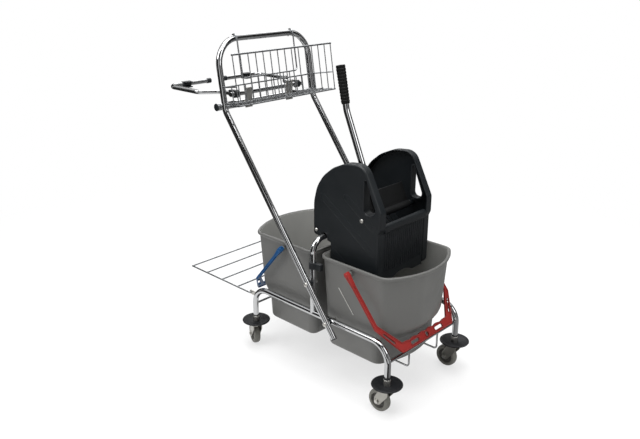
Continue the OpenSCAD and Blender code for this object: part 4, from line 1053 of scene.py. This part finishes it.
def jaw_shape():
    """Plate, two hubs, ribs and socket, leaned back on the axle."""
    pieces = [block(-JAW_T, JAW_T, -JAW_HALF, JAW_HALF, JAW_LOW, JAW_HIGH, 2.2),
              jaw_hub(-JAW_HALF, -LEVER_Y - SOCKET_ROOM), jaw_hub(-LEVER_Y + SOCKET_ROOM, JAW_HALF)]
    for i in range(-4, 5):
        y = i * JAW_RIB_STEP
        pieces.append(block(-8.5, -2.5, y - JAW_RIB_HALF, y + JAW_RIB_HALF, JAW_LOW + 12, JAW_HIGH - 6, 1.4))
    pieces.append(moved(sleeve(10.05, 14, 22, 68, 36), shift(0, LEVER_Y, 0)))
    return moved(joined(*pieces), shift(AXLE[0], 0, AXLE[1]) @ Matrix.Rotation(-LEVER_LEAN, 4, "Y"))


# The jaw takes the darker black, painted shade.
add_piece("press_jaw_moulded", jaw_shape(), jaw_black_painted_shade, "lever", ("press_jaw",))

# %% [markdown]
# Small black mouldings finish the trolley: keepers on the middle frame, hinge
# blocks and spring clips on the bag holder. Their CAD solids have sharp edges,
# which would catch no light, so they are made again with soft ones.

# %% Bucket keepers
KEEPER_LOW, KEEPER_HIGH = 390.0, 412.0


def keeper():
    """A collar on the near post with an arm between the buckets."""
    collar = sleeve(10.02, 13, KEEPER_LOW, KEEPER_HIGH, 36)
    arm = block(10.4, 36, -5, 9, KEEPER_LOW, KEEPER_HIGH, 1.8)
    return moved(joined(collar, arm), shift(MID_X, -HALF_TRACK, 0))


add_piece("keepers_moulded", joined(keeper(), moved(keeper(), MIRROR_Y)), black_plastic, "frame",
          ("bucket_keepers",))

# %% Hinge blocks and spring clips
HINGE_X, HINGE_Z, HINGE_Y = -408.04, 891.0, 141.0
CLIP_X, CLIP_Y = -690.0, 138.0
LEAF, LEAF_RADII = [(2, -17), (24, -14), (24, 14), (2, 17)], [1, 5, 5, 1]


def hinge_block():
    """A sleeve on the hinge bar with a lug for the arm."""
    bearing = moved(sleeve(8.06, 13, -9, 9, 40), ALONG_Y)
    lug = block(-30, -8.8, -9, 9, -11, 11, 2.0)
    return moved(joined(bearing, lug), shift(HINGE_X, -HINGE_Y, HINGE_Z))


def spring_clip():
    """A collar on the arm with two ribbed leaves that pinch the bag."""
    collar = moved(sleeve(8.02, 10.5, -17, 17, 36, 0.7, 0.7), ALONG_Y)
    ribs = [block(12 + 4 * i, 13.6 + 4 * i, -11, 11, 9.6, 10.9, 0.5) for i in range(3)]
    upper = joined(plate(spaced(rounded(LEAF, LEAF_RADII, 5)), 7.5, 10.3, 0.9), *ribs)
    lower = moved(upper, Matrix.Scale(-1, 4, (0, 0, 1)))
    return moved(joined(collar, upper, lower), shift(CLIP_X, -CLIP_Y, HINGE_Z))


for side, flip in (("near", Matrix.Identity(4)), ("far", MIRROR_Y)):
    add_piece("hinge_block_" + side, moved(hinge_block(), flip), black_plastic, "bag_frame_" + side,
              ("bag_block_" + side,))
    add_piece("spring_clip_" + side, moved(spring_clip(), flip), black_plastic, "bag_frame_" + side,
              ("bag_clip_" + side,))
